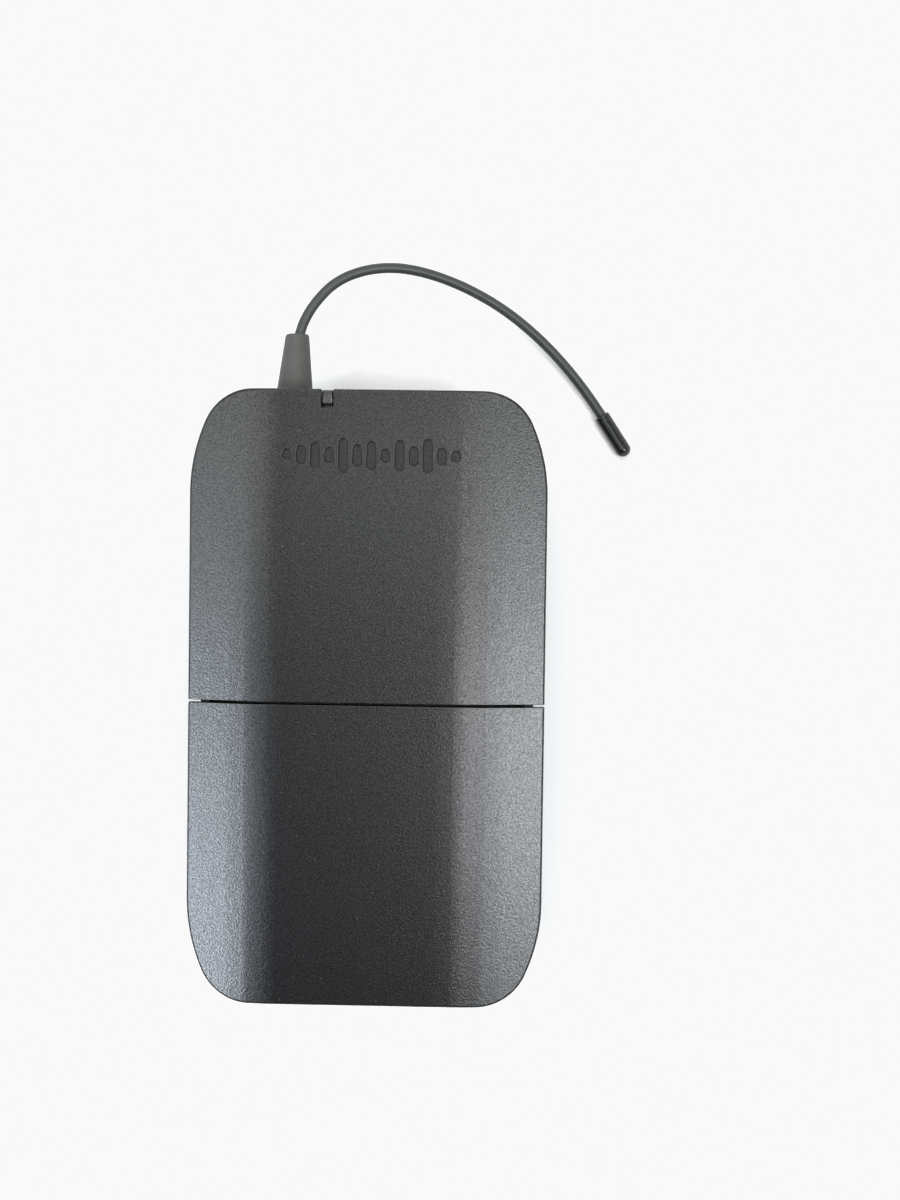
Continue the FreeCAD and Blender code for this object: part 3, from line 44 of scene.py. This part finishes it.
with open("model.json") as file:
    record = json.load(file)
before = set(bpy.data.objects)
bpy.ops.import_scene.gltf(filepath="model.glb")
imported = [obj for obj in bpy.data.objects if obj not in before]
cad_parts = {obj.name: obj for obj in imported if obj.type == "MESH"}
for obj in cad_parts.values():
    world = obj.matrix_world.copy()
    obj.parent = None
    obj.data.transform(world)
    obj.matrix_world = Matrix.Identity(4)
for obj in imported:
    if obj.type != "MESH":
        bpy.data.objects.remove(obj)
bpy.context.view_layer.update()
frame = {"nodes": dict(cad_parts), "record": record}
nodes = frame["nodes"]


# ---------------------------------------------------------------- material building

class Shader:
    """A material with one Principled shader, and short calls for the nodes used here."""

    def __init__(self, name, colour, roughness, **sockets):
        self.material = bpy.data.materials.new(name)
        self.material.use_nodes = True
        self.tree = self.material.node_tree
        self.surface = self.tree.nodes["Principled BSDF"]
        self.surface.inputs["Base Color"].default_value = (*colour, 1.0)
        self.surface.inputs["Roughness"].default_value = roughness
        for socket, value in sockets.items():
            self.surface.inputs[socket.replace("_", " ")].default_value = value
        self.place = self.add("ShaderNodeTexCoord").outputs["Object"]
        self.normal = None

    def add(self, kind, **settings):
        node = self.tree.nodes.new(kind)
        for name, value in settings.items():
            setattr(node, name, value)
        return node

    def feed(self, socket, value):
        """Give a socket an output to read, or a constant."""
        if isinstance(value, bpy.types.NodeSocket):
            self.tree.links.new(value, socket)
        else:
            socket.default_value = value

    def maths(self, operation, first, second=0.0, clamp=False):
        node = self.add("ShaderNodeMath", operation=operation, use_clamp=clamp)
        self.feed(node.inputs[0], first)
        self.feed(node.inputs[1], second)
        return node.outputs[0]

    def stretched(self, x, y, z):
        """Coordinates scaled by a factor on each axis."""
        node = self.add("ShaderNodeVectorMath", operation="MULTIPLY")
        self.feed(node.inputs[0], self.place)
        node.inputs[1].default_value = (x, y, z)
        return node.outputs[0]

    def part_of_place(self, axis):
        """One coordinate of the place."""
        node = self.add("ShaderNodeSeparateXYZ")
        self.feed(node.inputs[0], self.place)
        return node.outputs[axis.upper()]

    def noise(self, size, detail=2.0, roughness=0.5, place=None):
        """Smooth noise from 0 to 1 whose lumps are about size across."""
        node = self.add("ShaderNodeTexNoise")
        self.feed(node.inputs["Vector"], place or self.place)
        node.inputs["Scale"].default_value = 1 / size
        node.inputs["Detail"].default_value = detail
        node.inputs["Roughness"].default_value = roughness
        return node.outputs["Fac"]

    def cells(self, size, feature="F1", randomness=1.0, place=None):
        """Distance to the nearest of many points, about size apart."""
        node = self.add("ShaderNodeTexVoronoi", feature=feature)
        self.feed(node.inputs["Vector"], place or self.place)
        node.inputs["Scale"].default_value = 1 / size
        node.inputs["Randomness"].default_value = randomness
        return node.outputs["Distance"]

    def spread(self, value, low, high, to_low=0.0, to_high=1.0):
        """Map low..high smoothly to another range."""
        node = self.add("ShaderNodeMapRange", interpolation_type="SMOOTHSTEP")
        self.feed(node.inputs["Value"], value)
        ends = (("From Min", low), ("From Max", high), ("To Min", to_low), ("To Max", to_high))
        for socket, number in ends:
            node.inputs[socket].default_value = number
        return node.outputs["Result"]

    def blend(self, share, first, second):
        """A mix of two colours."""
        node = self.add("ShaderNodeMix", data_type="RGBA")
        self.feed(node.inputs["Factor"], share)
        for socket, colour in ((node.inputs[6], first), (node.inputs[7], second)):
            self.feed(socket, colour if isinstance(colour, bpy.types.NodeSocket) else (*colour, 1.0))
        return node.outputs[2]

    def raise_surface(self, height, depth, strength=1.0):
        """Stack one more bump on the normal, where height 0..1 stands depth metres high."""
        node = self.add("ShaderNodeBump")
        node.inputs["Distance"].default_value = depth
        node.inputs["Strength"].default_value = strength
        self.feed(node.inputs["Height"], height)
        if self.normal is not None:
            self.feed(node.inputs["Normal"], self.normal)
        self.normal = node.outputs["Normal"]
        self.feed(self.surface.inputs["Normal"], self.normal)

    def colour(self, value):
        self.feed(self.surface.inputs["Base Color"], value)

    def roughness(self, value):
        self.feed(self.surface.inputs["Roughness"], value)


def times(colour, factor):
    return tuple(channel * factor for channel in colour)


def moulded(name, colour, roughness, grain=0.0, depth=0.0, mottle=0.12, **sockets):
    """Moulded plastic: faint tone and gloss variation, and a fine grain where the tool was eroded."""
    shader = Shader(name, colour, roughness, **sockets)
    cloudy = shader.noise(6 * MM, detail=4.0)
    shader.colour(shader.blend(cloudy, times(colour, 1 - mottle), times(colour, 1 + mottle)))
    shader.roughness(shader.spread(shader.noise(1.5 * MM), 0.3, 0.7, roughness - 0.04, roughness + 0.04))
    if grain:
        shader.raise_surface(shader.noise(grain, detail=3.0, roughness=0.6), depth)
    else:
        shader.raise_surface(shader.noise(0.5 * MM), 0.002 * MM)
    return shader


def metal(name, colour, roughness, stretch=(1, 1, 1), scratch=0.004):
    """Metal with drawn or turned lines along one axis."""
    shader = Shader(name, colour, roughness, Metallic=1.0)
    lines = shader.noise(0.25 * MM, detail=3.0, place=shader.stretched(*stretch))
    shader.roughness(shader.spread(lines, 0.3, 0.7, roughness - 0.05, roughness + 0.08))
    shader.colour(shader.blend(shader.noise(3 * MM, detail=3.0), times(colour, 0.9), colour))
    shader.raise_surface(lines, scratch * MM)
    return shader


def glossy(name, colour, roughness, **sockets):
    """Polished plastic with a little unevenness and fingerprints' worth of gloss variation."""
    shader = Shader(name, colour, roughness, **sockets)
    smears = shader.noise(2.5 * MM, detail=3.0)
    shader.roughness(shader.spread(smears, 0.35, 0.75, roughness, roughness + 0.1))
    shader.raise_surface(shader.noise(1.2 * MM), 0.004 * MM)
    return shader


# ---------------------------------------------------------------- one function for each material

# The pressed motif lies below this level, inside this rectangle.
MOTIF_FLOOR = 27.95 * MM
MOTIF_MIDDLE = (0.7 * MM, 43.3 * MM)
MOTIF_HALF = (16.2 * MM, 3.3 * MM)
MOTIF_ROUGHER = 0.14
MOTIF_DULLER = 0.12
# The crown turns between its flat middle and its slopes; a bump eases both ends of the turn.
CROWN_BENDS = ((12.3 * MM, 19.3 * MM), (18.1 * MM, 25.1 * MM))
CROWN_EASE = 0.09 * MM


def housing():
    """Grained black plastic of the front, duller in the pressed motif, with dust in its pores."""
    shader = Shader("housing", (0.0014, 0.0014, 0.0015), 0.277)
    pebbles = shader.spread(shader.cells(0.33 * MM, feature="SMOOTH_F1"), 0.1, 0.75, 1.0, 0.0)
    cloudy = shader.noise(9 * MM, detail=4.0)
    dust = shader.spread(shader.cells(2.3 * MM), 0.03, 0.05, 1.0, 0.0)
    plain = shader.blend(cloudy, (0.0010, 0.0010, 0.0011), (0.0018, 0.0018, 0.0020))
    shader.colour(shader.blend(dust, plain, (0.1, 0.1, 0.095)))
    pressed = shader.maths("LESS_THAN", shader.part_of_place("z"), MOTIF_FLOOR)
    for axis, middle, half in zip("xy", MOTIF_MIDDLE, MOTIF_HALF):
        away = shader.maths("ABSOLUTE", shader.maths("SUBTRACT", shader.part_of_place(axis), middle))
        pressed = shader.maths("MULTIPLY", pressed, shader.maths("LESS_THAN", away, half))
    worn = shader.spread(shader.noise(5 * MM, detail=3.0), 0.3, 0.7, 0.275, 0.279)
    shader.roughness(shader.maths("ADD", worn, shader.maths("MULTIPLY", pressed, MOTIF_ROUGHER)))
    shine = shader.spread(shader.noise(0.25 * MM, detail=1.0), 0.3, 0.7, 0.33, 0.67)
    dulled = shader.maths("SUBTRACT", shine, shader.maths("MULTIPLY", pressed, MOTIF_DULLER))
    shader.feed(shader.surface.inputs["Specular IOR Level"], dulled)
    across = shader.maths("ABSOLUTE", shader.part_of_place("x"))
    inner_bend, outer_bend = (shader.spread(across, *ends) for ends in CROWN_BENDS)
    shader.raise_surface(shader.maths("SUBTRACT", outer_bend, inner_bend), CROWN_EASE)
    shader.raise_surface(pebbles, 0.008 * MM)
    shader.raise_surface(shader.noise(0.2 * MM, detail=2.0), 0.003 * MM)
    return shader


def case():
    return moulded("case", (0.012, 0.012, 0.013), 0.45, grain=0.2 * MM, depth=0.015 * MM)


def inner_plastic():
    return moulded("inner_plastic", (0.014, 0.014, 0.015), 0.38)


def bright_steel():
    return metal("bright_steel", (0.55, 0.55, 0.54), 0.28, stretch=(1, 0.1, 1))


def spring_steel():
    return metal("spring_steel", (0.42, 0.42, 0.43), 0.3)


def clip_wire():
    """Black lacquered spring wire, rubbed a little along its length."""
    shader = moulded("clip_wire", (0.012, 0.012, 0.012), 0.3, mottle=0.3)
    worn = shader.spread(shader.noise(1.8 * MM, detail=5.0), 0.66, 0.74)
    shader.colour(shader.blend(worn, (0.012, 0.012, 0.012), (0.05, 0.05, 0.052)))
    return shader


def foam():
    """Closed-cell foam, full of small open pores on its skin, with painted shade at the bottom of each pore.
    """
    shader = Shader("foam", (0.02, 0.02, 0.021), 0.9)
    pores = shader.cells(0.45 * MM)
    # Painted shade: the colour is darker towards each pore's centre, where the bump below sinks the pit.
    shader.colour(shader.blend(shader.spread(pores, 0.1, 0.6), (0.008, 0.008, 0.008), (0.032, 0.032, 0.034)))
    shader.raise_surface(shader.spread(pores, 0.15, 0.5), 0.12 * MM)
    return shader


def label():
    """A blank satin foil plate."""
    return metal("label", (0.5, 0.51, 0.52), 0.38, stretch=(0.04, 1, 1), scratch=0.003)


def black_screws():
    return metal("black_screws", (0.03, 0.03, 0.031), 0.35)


def antenna_rubber():
    """Matt moulded rubber, a little dusty."""
    shader = Shader("antenna_rubber", (0.04, 0.041, 0.037), 0.62)
    dusty = shader.noise(1.1 * MM, detail=5.0, roughness=0.65)
    specks = shader.spread(shader.cells(1.2 * MM), 0.05, 0.09, 1.0, 0.0)
    plain = shader.blend(dusty, (0.038, 0.039, 0.035), (0.07, 0.071, 0.064))
    shader.colour(shader.blend(specks, plain, (0.13, 0.13, 0.13)))
    shader.raise_surface(shader.noise(0.22 * MM, detail=3.0), 0.02 * MM)
    return shader


def antenna_jacket():
    """The whip's satin jacket, olive black."""
    return moulded("antenna_jacket", (0.026, 0.03, 0.025), 0.44, mottle=0.15)


def antenna_cap():
    return glossy("antenna_cap", (0.008, 0.0085, 0.009), 0.16)


def brass():
    return metal("brass", (0.6, 0.42, 0.16), 0.3)


def clear_plastic():
    """The light pipe: a smoky, half-clear plastic."""
    return glossy("clear_plastic", (0.04, 0.042, 0.04), 0.25, Transmission_Weight=0.25, IOR=1.49)


def led():
    return glossy("led", (0.7, 0.72, 0.6), 0.2, Transmission_Weight=0.3)


def switch_plastic():
    return moulded("switch_plastic", (0.02, 0.02, 0.021), 0.4)


def nickel():
    return metal("nickel", (0.56, 0.55, 0.52), 0.22, stretch=(1, 0.1, 1), scratch=0.002)


def jack_insulator():
    return moulded("jack_insulator", (0.02, 0.02, 0.02), 0.5)


def gold_contact():
    return metal("gold_contact", (0.75, 0.52, 0.2), 0.2, scratch=0.001)


def board():
    """Green solder mask over darker copper-free and lighter copper-filled areas."""
    shader = Shader("board", (0.012, 0.09, 0.035), 0.3)
    tracks = shader.cells(1.6 * MM, feature="DISTANCE_TO_EDGE", randomness=0.35)
    copper = shader.spread(tracks, 0.1, 0.16)
    shader.colour(shader.blend(copper, (0.008, 0.055, 0.022), (0.014, 0.11, 0.045)))
    shader.raise_surface(copper, 0.03 * MM)
    return shader


def tin():
    return metal("tin", (0.55, 0.55, 0.53), 0.35)


def chip():
    return moulded("chip", (0.018, 0.018, 0.019), 0.5)


def can_metal():
    return metal("can_metal", (0.6, 0.6, 0.61), 0.3)


def knob():
    return moulded("knob", (0.022, 0.022, 0.023), 0.45)


def pot_blue():
    return moulded("pot_blue", (0.02, 0.06, 0.2), 0.4)


def button():
    return moulded("button", (0.16, 0.16, 0.165), 0.42)


def window():
    """Smoked window over the channel display."""
    return glossy("window", (0.05, 0.05, 0.055), 0.06, Transmission_Weight=0.8, IOR=1.49)


def display_black():
    return glossy("display_black", (0.01, 0.01, 0.01), 0.15)


def segments():
    return glossy("segments", (0.25, 0.03, 0.02), 0.3)


CELL_MIDDLE_Y = sum(corner.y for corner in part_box("battery_cells")) / 2
BAND_START = 12 * MM


def cell_sleeve():
    """Plain printed film on the cells: dark, with a copper-coloured band round one end."""
    shader = glossy("cell_sleeve", (0.02, 0.02, 0.022), 0.22, Coat_Weight=0.4)
    along = shader.part_of_place("x")
    upper = shader.maths("GREATER_THAN", shader.part_of_place("y"), CELL_MIDDLE_Y)
    side = shader.maths("MULTIPLY_ADD", upper, -2.0)
    side.node.inputs[2].default_value = 1.0
    towards_plus = shader.maths("MULTIPLY", along, side)
    band = shader.maths("GREATER_THAN", towards_plus, BAND_START)
    shader.colour(shader.blend(band, (0.02, 0.02, 0.022), (0.55, 0.27, 0.1)))
    return shader


MATERIALS = {
    make.__name__: make().material
    for make in (
        housing, case, inner_plastic, bright_steel, spring_steel, clip_wire, foam, label, black_screws,
        antenna_rubber, antenna_jacket, antenna_cap, brass, clear_plastic, led, switch_plastic, nickel,
        jack_insulator, gold_contact, board, tin, chip, can_metal, knob, pot_blue, button, window,
        display_black, segments, cell_sleeve,
    )
}


# ---------------------------------------------------------------- the CAD nodes

def finish_nodes():
    """Give each CAD node its material, and shading that follows its large faces."""
    for part in frame["record"]["subparts"]:
        node = nodes[part["node"]]
        node.data.materials.clear()
        node.data.materials.append(MATERIALS[part["material_slot"]])
        weld = node.modifiers.new("weld", "WELD")
        weld.merge_threshold = 0.0005 * MM
        shade = node.modifiers.new("shade", "WEIGHTED_NORMAL")
        shade.keep_sharp = True


# ---------------------------------------------------------------- new pieces

def finished(name, mesh, slot, body):
    """Make an object of a mesh, with its material, riding on a body."""
    piece = bpy.data.objects.new(name, mesh)
    bpy.context.scene.collection.objects.link(piece)
    mesh.materials.append(MATERIALS[slot])
    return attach(piece, body)


def ring_mesh(name, rings):
    """A mesh through rings of the same number of points, closed by one face over each end ring."""
    shape = bmesh.new()
    rows = [[shape.verts.new(point) for point in ring] for ring in rings]
    count = len(rows[0])
    for near, far in zip(rows, rows[1:]):
        for i in range(count):
            shape.faces.new((near[i], near[(i + 1) % count], far[(i + 1) % count], far[i]))
    shape.faces.new(reversed(rows[0]))
    shape.faces.new(rows[-1])
    bmesh.ops.recalc_face_normals(shape, faces=shape.faces)
    for face in shape.faces:
        face.smooth = len(face.verts) == 4
    mesh = bpy.data.meshes.new(name)
    shape.to_mesh(mesh)
    shape.free()
    return mesh


def rounded_profile(corners, steps=5):
    """Points of a profile of (place, radius, round) corners, with each corner rounded by its amount."""
    points = []
    count = len(corners)
    for i, (place, radius, amount) in enumerate(corners):
        here = Vector((place, radius))
        if amount == 0 or i in (0, count - 1):
            points.append(here)
            continue
        before, after = Vector(corners[i - 1][:2]), Vector(corners[i + 1][:2])
        start = here + (before - here).normalized() * amount
        end = here + (after - here).normalized() * amount
        for step in range(steps + 1):
            share = step / steps
            points.append((1 - share) ** 2 * start + 2 * share * (1 - share) * here + share ** 2 * end)
    return points


BOOT_FACE = 53.0 * MM
BOOT_TOP = 65.6 * MM
BOOT_AXIS = (-14.48 * MM, 16.8 * MM)
BOOT_LEAN = 0.48 * MM
BOOT_PROFILE = (
    (49.8, 0.9, 0), (49.8, 2.85, 0.1), (51.4, 2.85, 0.1), (51.4, 2.05, 0), (53.0, 2.05, 0), (53.0, 3.5, 0.12),
    (65.6, 2.13, 0.55), (65.6, 1.0, 0.12), (61.6, 0.97, 0),
)
BOOT_SEAM = math.radians(102)
BOOT_SEAM_WIDTH = 0.13 * MM
BOOT_SEAM_DEPTH = 0.07 * MM
BOOT_OUTSIDE = 1.5 * MM
BOOT_SIDES = 180


def boot():
    """The rubber boot: tapered and leaning, with the thin line where its mould closed."""
    rings = []
    for place, radius in rounded_profile([[size * MM for size in corner] for corner in BOOT_PROFILE]):
        lean = BOOT_LEAN * max(0.0, (place - BOOT_FACE) / (BOOT_TOP - BOOT_FACE))
        depth = BOOT_SEAM_DEPTH if place > BOOT_FACE and radius > BOOT_OUTSIDE else 0.0
        ring = []
        for i in range(BOOT_SIDES):
            angle = 2 * math.pi * i / BOOT_SIDES
            away = abs(angle - BOOT_SEAM) * radius / BOOT_SEAM_WIDTH
            reach = radius - depth * max(0.0, 1 - away)
            x = BOOT_AXIS[0] + lean + reach * math.cos(angle)
            ring.append((x, place, BOOT_AXIS[1] + reach * math.sin(angle)))
        rings.append(ring)
    name = "antenna_boot_moulding"
    piece = finished(name, ring_mesh(name, rings), "antenna_rubber", "root")
    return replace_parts(piece, "antenna_boot")


CELL_ROUND = 1.1 * MM
CELL_SIDES = 72


def turned_cells(name, slot, node, corners):
    """One mesh with the same turned shape on each cell's axis: the cells point opposite ways."""
    low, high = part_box("battery_cells")
    radius = (high.z - low.z) / 2
    axis_z = (high.z + low.z) / 2
    meshes = []
    for y, way in ((low.y + radius, 1), (high.y - radius, -1)):
        rings = [
            [
                (way * place, y + reach * math.cos(2 * math.pi * i / CELL_SIDES),
                 axis_z + reach * math.sin(2 * math.pi * i / CELL_SIDES))
                for i in range(CELL_SIDES)
            ]
            for place, reach in rounded_profile(corners)
        ]
        meshes.append(ring_mesh(name, rings))
    joined = bmesh.new()
    for mesh in meshes:
        joined.from_mesh(mesh)
    joined.to_mesh(meshes[0])
    joined.free()
    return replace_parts(finished(name, meshes[0], slot, "root"), node)


def cells():
    """The cells: film shrunk over their shoulders, and the metal ends that show inside it."""
    low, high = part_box("battery_cells")
    half, radius = high.x, (high.z - low.z) / 2
    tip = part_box("battery_ends")[1].x
    lip = 5.9 * MM
    turned_cells("battery_cell_films", "cell_sleeve", "battery_cells", [
        (-half, 0.2 * MM, 0), (-half, radius, CELL_ROUND), (half, radius, CELL_ROUND), (half, 0.2 * MM, 0),
    ])
    turned_cells("battery_cell_ends", "bright_steel", "battery_ends", [
        (-half - 0.2 * MM, 0.2 * MM, 0), (-half - 0.2 * MM, lip, 0.15 * MM), (-half + 0.3 * MM, lip, 0),
        (-half + 0.3 * MM, 0.3 * MM, 0), (half - 0.3 * MM, 0.3 * MM, 0), (half - 0.3 * MM, 4.6 * MM, 0),
        (half + 0.12 * MM, 4.6 * MM, 0.1 * MM), (half + 0.12 * MM, 2.9 * MM, 0.1 * MM),
        (tip, 2.75 * MM, 0.35 * MM), (tip, 0.2 * MM, 0),
    ])


FOAM_CELL = 0.75 * MM


def foam_pad():
    """The foam strip inside the door: soft rounded edges and a slightly uneven skin."""
    low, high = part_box("door_foam_pad")
    middle, size = (low + high) / 2, high - low
    shape = bmesh.new()
    bmesh.ops.create_cube(shape, size=1.0, matrix=Matrix.Translation(middle) @ Matrix.Diagonal((*size, 1.0)))
    bmesh.ops.bevel(shape, geom=shape.edges[:], offset=0.4 * MM, segments=3, profile=0.5, affect="EDGES")
    for _ in range(5):
        long_edges = [edge for edge in shape.edges if edge.calc_length() > FOAM_CELL]
        if not long_edges:
            break
        bmesh.ops.subdivide_edges(shape, edges=long_edges, cuts=1, use_grid_fill=True)
    for vert in shape.verts:
        if vert.co.z < middle.z:
            vert.co.z += 0.09 * MM * (1 + noise.noise(vert.co / (1.3 * MM)))
    mesh = bpy.data.meshes.new("door_foam_strip")
    shape.to_mesh(mesh)
    shape.free()
    for polygon in mesh.polygons:
        polygon.use_smooth = True
    piece = finished("door_foam_strip", mesh, "foam", "door")
    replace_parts(piece, "door_foam_pad")


LATCH_SPRING_SEAT = 25.6 * MM


def latch_springs():
    """The coils behind the latches, copied from their CAD meshes and riding on the door."""
    for side, seat in (("left", -LATCH_SPRING_SEAT), ("right", LATCH_SPRING_SEAT)):
        coil = nodes[f"latch_spring_{side}"]
        mesh = coil.data.copy()
        mesh.transform(coil.matrix_world)
        mesh.materials.clear()
        piece = finished(f"latch_coil_{side}", mesh, "spring_steel", "door")
        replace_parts(piece, coil.name)
        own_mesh(piece)


WHIP_ROUTE = (
    (-0.0140, 0.0615, 0.0168),
    (-0.0140, 0.0653, 0.0168),
    (-0.0115, 0.0709, 0.0163),
    (-0.0066, 0.0762, 0.0149),
    (0.0014, 0.0787, 0.0126),
    (0.0103, 0.0777, 0.0099),
    (0.0208, 0.0734, 0.0069),
    (0.0300, 0.0668, 0.0040),
    (0.0385, 0.0576, 0.0020),
    (0.0420, 0.0523, 0.00145),
)
WHIP_RADIUS = 0.95 * MM


def whip(boot_piece):
    """The antenna's flexible whip, from inside the boot to its cap."""
    curve = bpy.data.curves.new("antenna_whip_line", "CURVE")
    curve.dimensions = "3D"
    line = curve.splines.new("NURBS")
    line.points.add(len(WHIP_ROUTE) - 1)
    for point, place in zip(line.points, WHIP_ROUTE):
        point.co = (*place, 1.0)
    line.order_u = 3
    line.use_endpoint_u = True
    line.resolution_u = 24
    curve.bevel_depth = WHIP_RADIUS
    curve.bevel_resolution = 8
    curve.use_fill_caps = True
    piece = finished("antenna_whip_jacket", curve, "antenna_jacket", "root")
    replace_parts(piece, "antenna_whip")


# ---------------------------------------------------------------- floor, light and camera

def floor():
    """A pale seamless table top."""
    bpy.ops.mesh.primitive_plane_add(size=2.4, location=(0, 0, 0))
    plane = bpy.context.object
    plane.name = "floor"
    shader = Shader("floor", (0.86, 0.86, 0.86), 0.6)
    shader.colour(shader.blend(shader.noise(0.2, detail=2.0), (0.85, 0.85, 0.85), (0.87, 0.87, 0.87)))
    plane.data.materials.append(shader.material)


PANEL_LEVEL = 1.0


def panel(name, x, y, radiance, tint):
    """A level softbox over the pack, between two x and two y places, as bright as radiance."""
    lamp = bpy.data.lights.new(name, "AREA")
    lamp.shape = "RECTANGLE"
    lamp.size, lamp.size_y = x[1] - x[0], y[1] - y[0]
    lamp.energy = math.pi * lamp.size * lamp.size_y * radiance
    lamp.color = tint
    holder = bpy.data.objects.new(name, lamp)
    holder.location = ((x[0] + x[1]) / 2, (y[0] + y[1]) / 2, PANEL_LEVEL)
    bpy.context.scene.collection.objects.link(holder)


def lights():
    """Windows to the left and right, and paler ceiling between them that the crown mirrors."""
    panel("left_window", (-0.800, -0.719), (-0.248, -0.081), 69.0, (0.90, 1.0, 1.11))
    panel("left_window_near", (-0.800, -0.719), (-0.480, -0.248), 101.0, (0.90, 1.0, 1.11))
    panel("left_edge", (-0.475, -0.343), (-0.238, -0.126), 8.0, (0.93, 0.98, 1.12))
    panel("right_edge", (0.085, 0.325), (-0.179, -0.056), 20.0, (1.0, 0.98, 1.02))
    panel("right_window", (0.485, 0.570), (-0.281, -0.029), 69.0, (0.95, 1.01, 1.04))
    panel("back_right", (-0.130, 0.829), (0.052, 0.138), 7.0, (0.98, 1.02, 1.0))
    panel("back_left", (-1.120, -0.255), (0.058, 0.135), 10.6, (1.0, 1.02, 0.98))
    panel("back_window", (-0.6, 0.6), (0.45, 0.75), 7.0, (1.0, 1.0, 1.0))


WALL_RADIANCE = 1.1


def surroundings():
    """Pale walls all round, up to about forty degrees, and a dark ceiling."""
    world = bpy.data.worlds.new("room")
    world.use_nodes = True
    tree = world.node_tree
    background = tree.nodes["Background"]
    direction = tree.nodes.new("ShaderNodeTexCoord")
    parts = tree.nodes.new("ShaderNodeSeparateXYZ")
    wall = tree.nodes.new("ShaderNodeMapRange")
    wall.interpolation_type = "SMOOTHSTEP"
    for socket, number in (("From Min", 0.5), ("From Max", 0.7), ("To Min", WALL_RADIANCE), ("To Max", 0.0)):
        wall.inputs[socket].default_value = number
    tree.links.new(direction.outputs["Generated"], parts.inputs[0])
    tree.links.new(parts.outputs["Z"], wall.inputs["Value"])
    tree.links.new(wall.outputs["Result"], background.inputs["Strength"])
    background.inputs["Color"].default_value = (1.0, 1.0, 1.0, 1.0)
    bpy.context.scene.world = world


PAPER_WHITE = 0.947


def exposure():
    """Plain rendering, with everything over-exposed held at the white of the background paper."""
    view = bpy.context.scene.view_settings
    view.view_transform = "Standard"
    view.use_curve_mapping = True
    mapping = view.curve_mapping
    mapping.extend = "HORIZONTAL"
    line = mapping.curves[3]
    line.points[1].location = (PAPER_WHITE, PAPER_WHITE)
    for point in line.points:
        point.handle_type = "VECTOR"
    mapping.update()


LENS = 61.026
SENSOR = 36.0
LENS_SHIFT = (-0.0384, 0.0061)
CAMERA_PLACE = (0.03147, 0.03123, 0.38821)
CAMERA_TURN = (-2.278, 1.356, 0.817)


def camera():
    """Straight down over the pack, a little to its right."""
    lens = bpy.data.cameras.new("camera")
    lens.lens = LENS
    lens.sensor_width = SENSOR
    lens.shift_x, lens.shift_y = LENS_SHIFT
    lens.clip_start = 0.01
    lens.clip_end = 20.0
    holder = bpy.data.objects.new("camera", lens)
    holder.location = CAMERA_PLACE
    holder.rotation_euler = Euler([math.radians(angle) for angle in CAMERA_TURN])
    bpy.context.scene.collection.objects.link(holder)
    bpy.context.scene.camera = holder


finish_nodes()
whip(boot())
cells()
foam_pad()
latch_springs()
floor()
lights()
surroundings()
camera()
exposure()
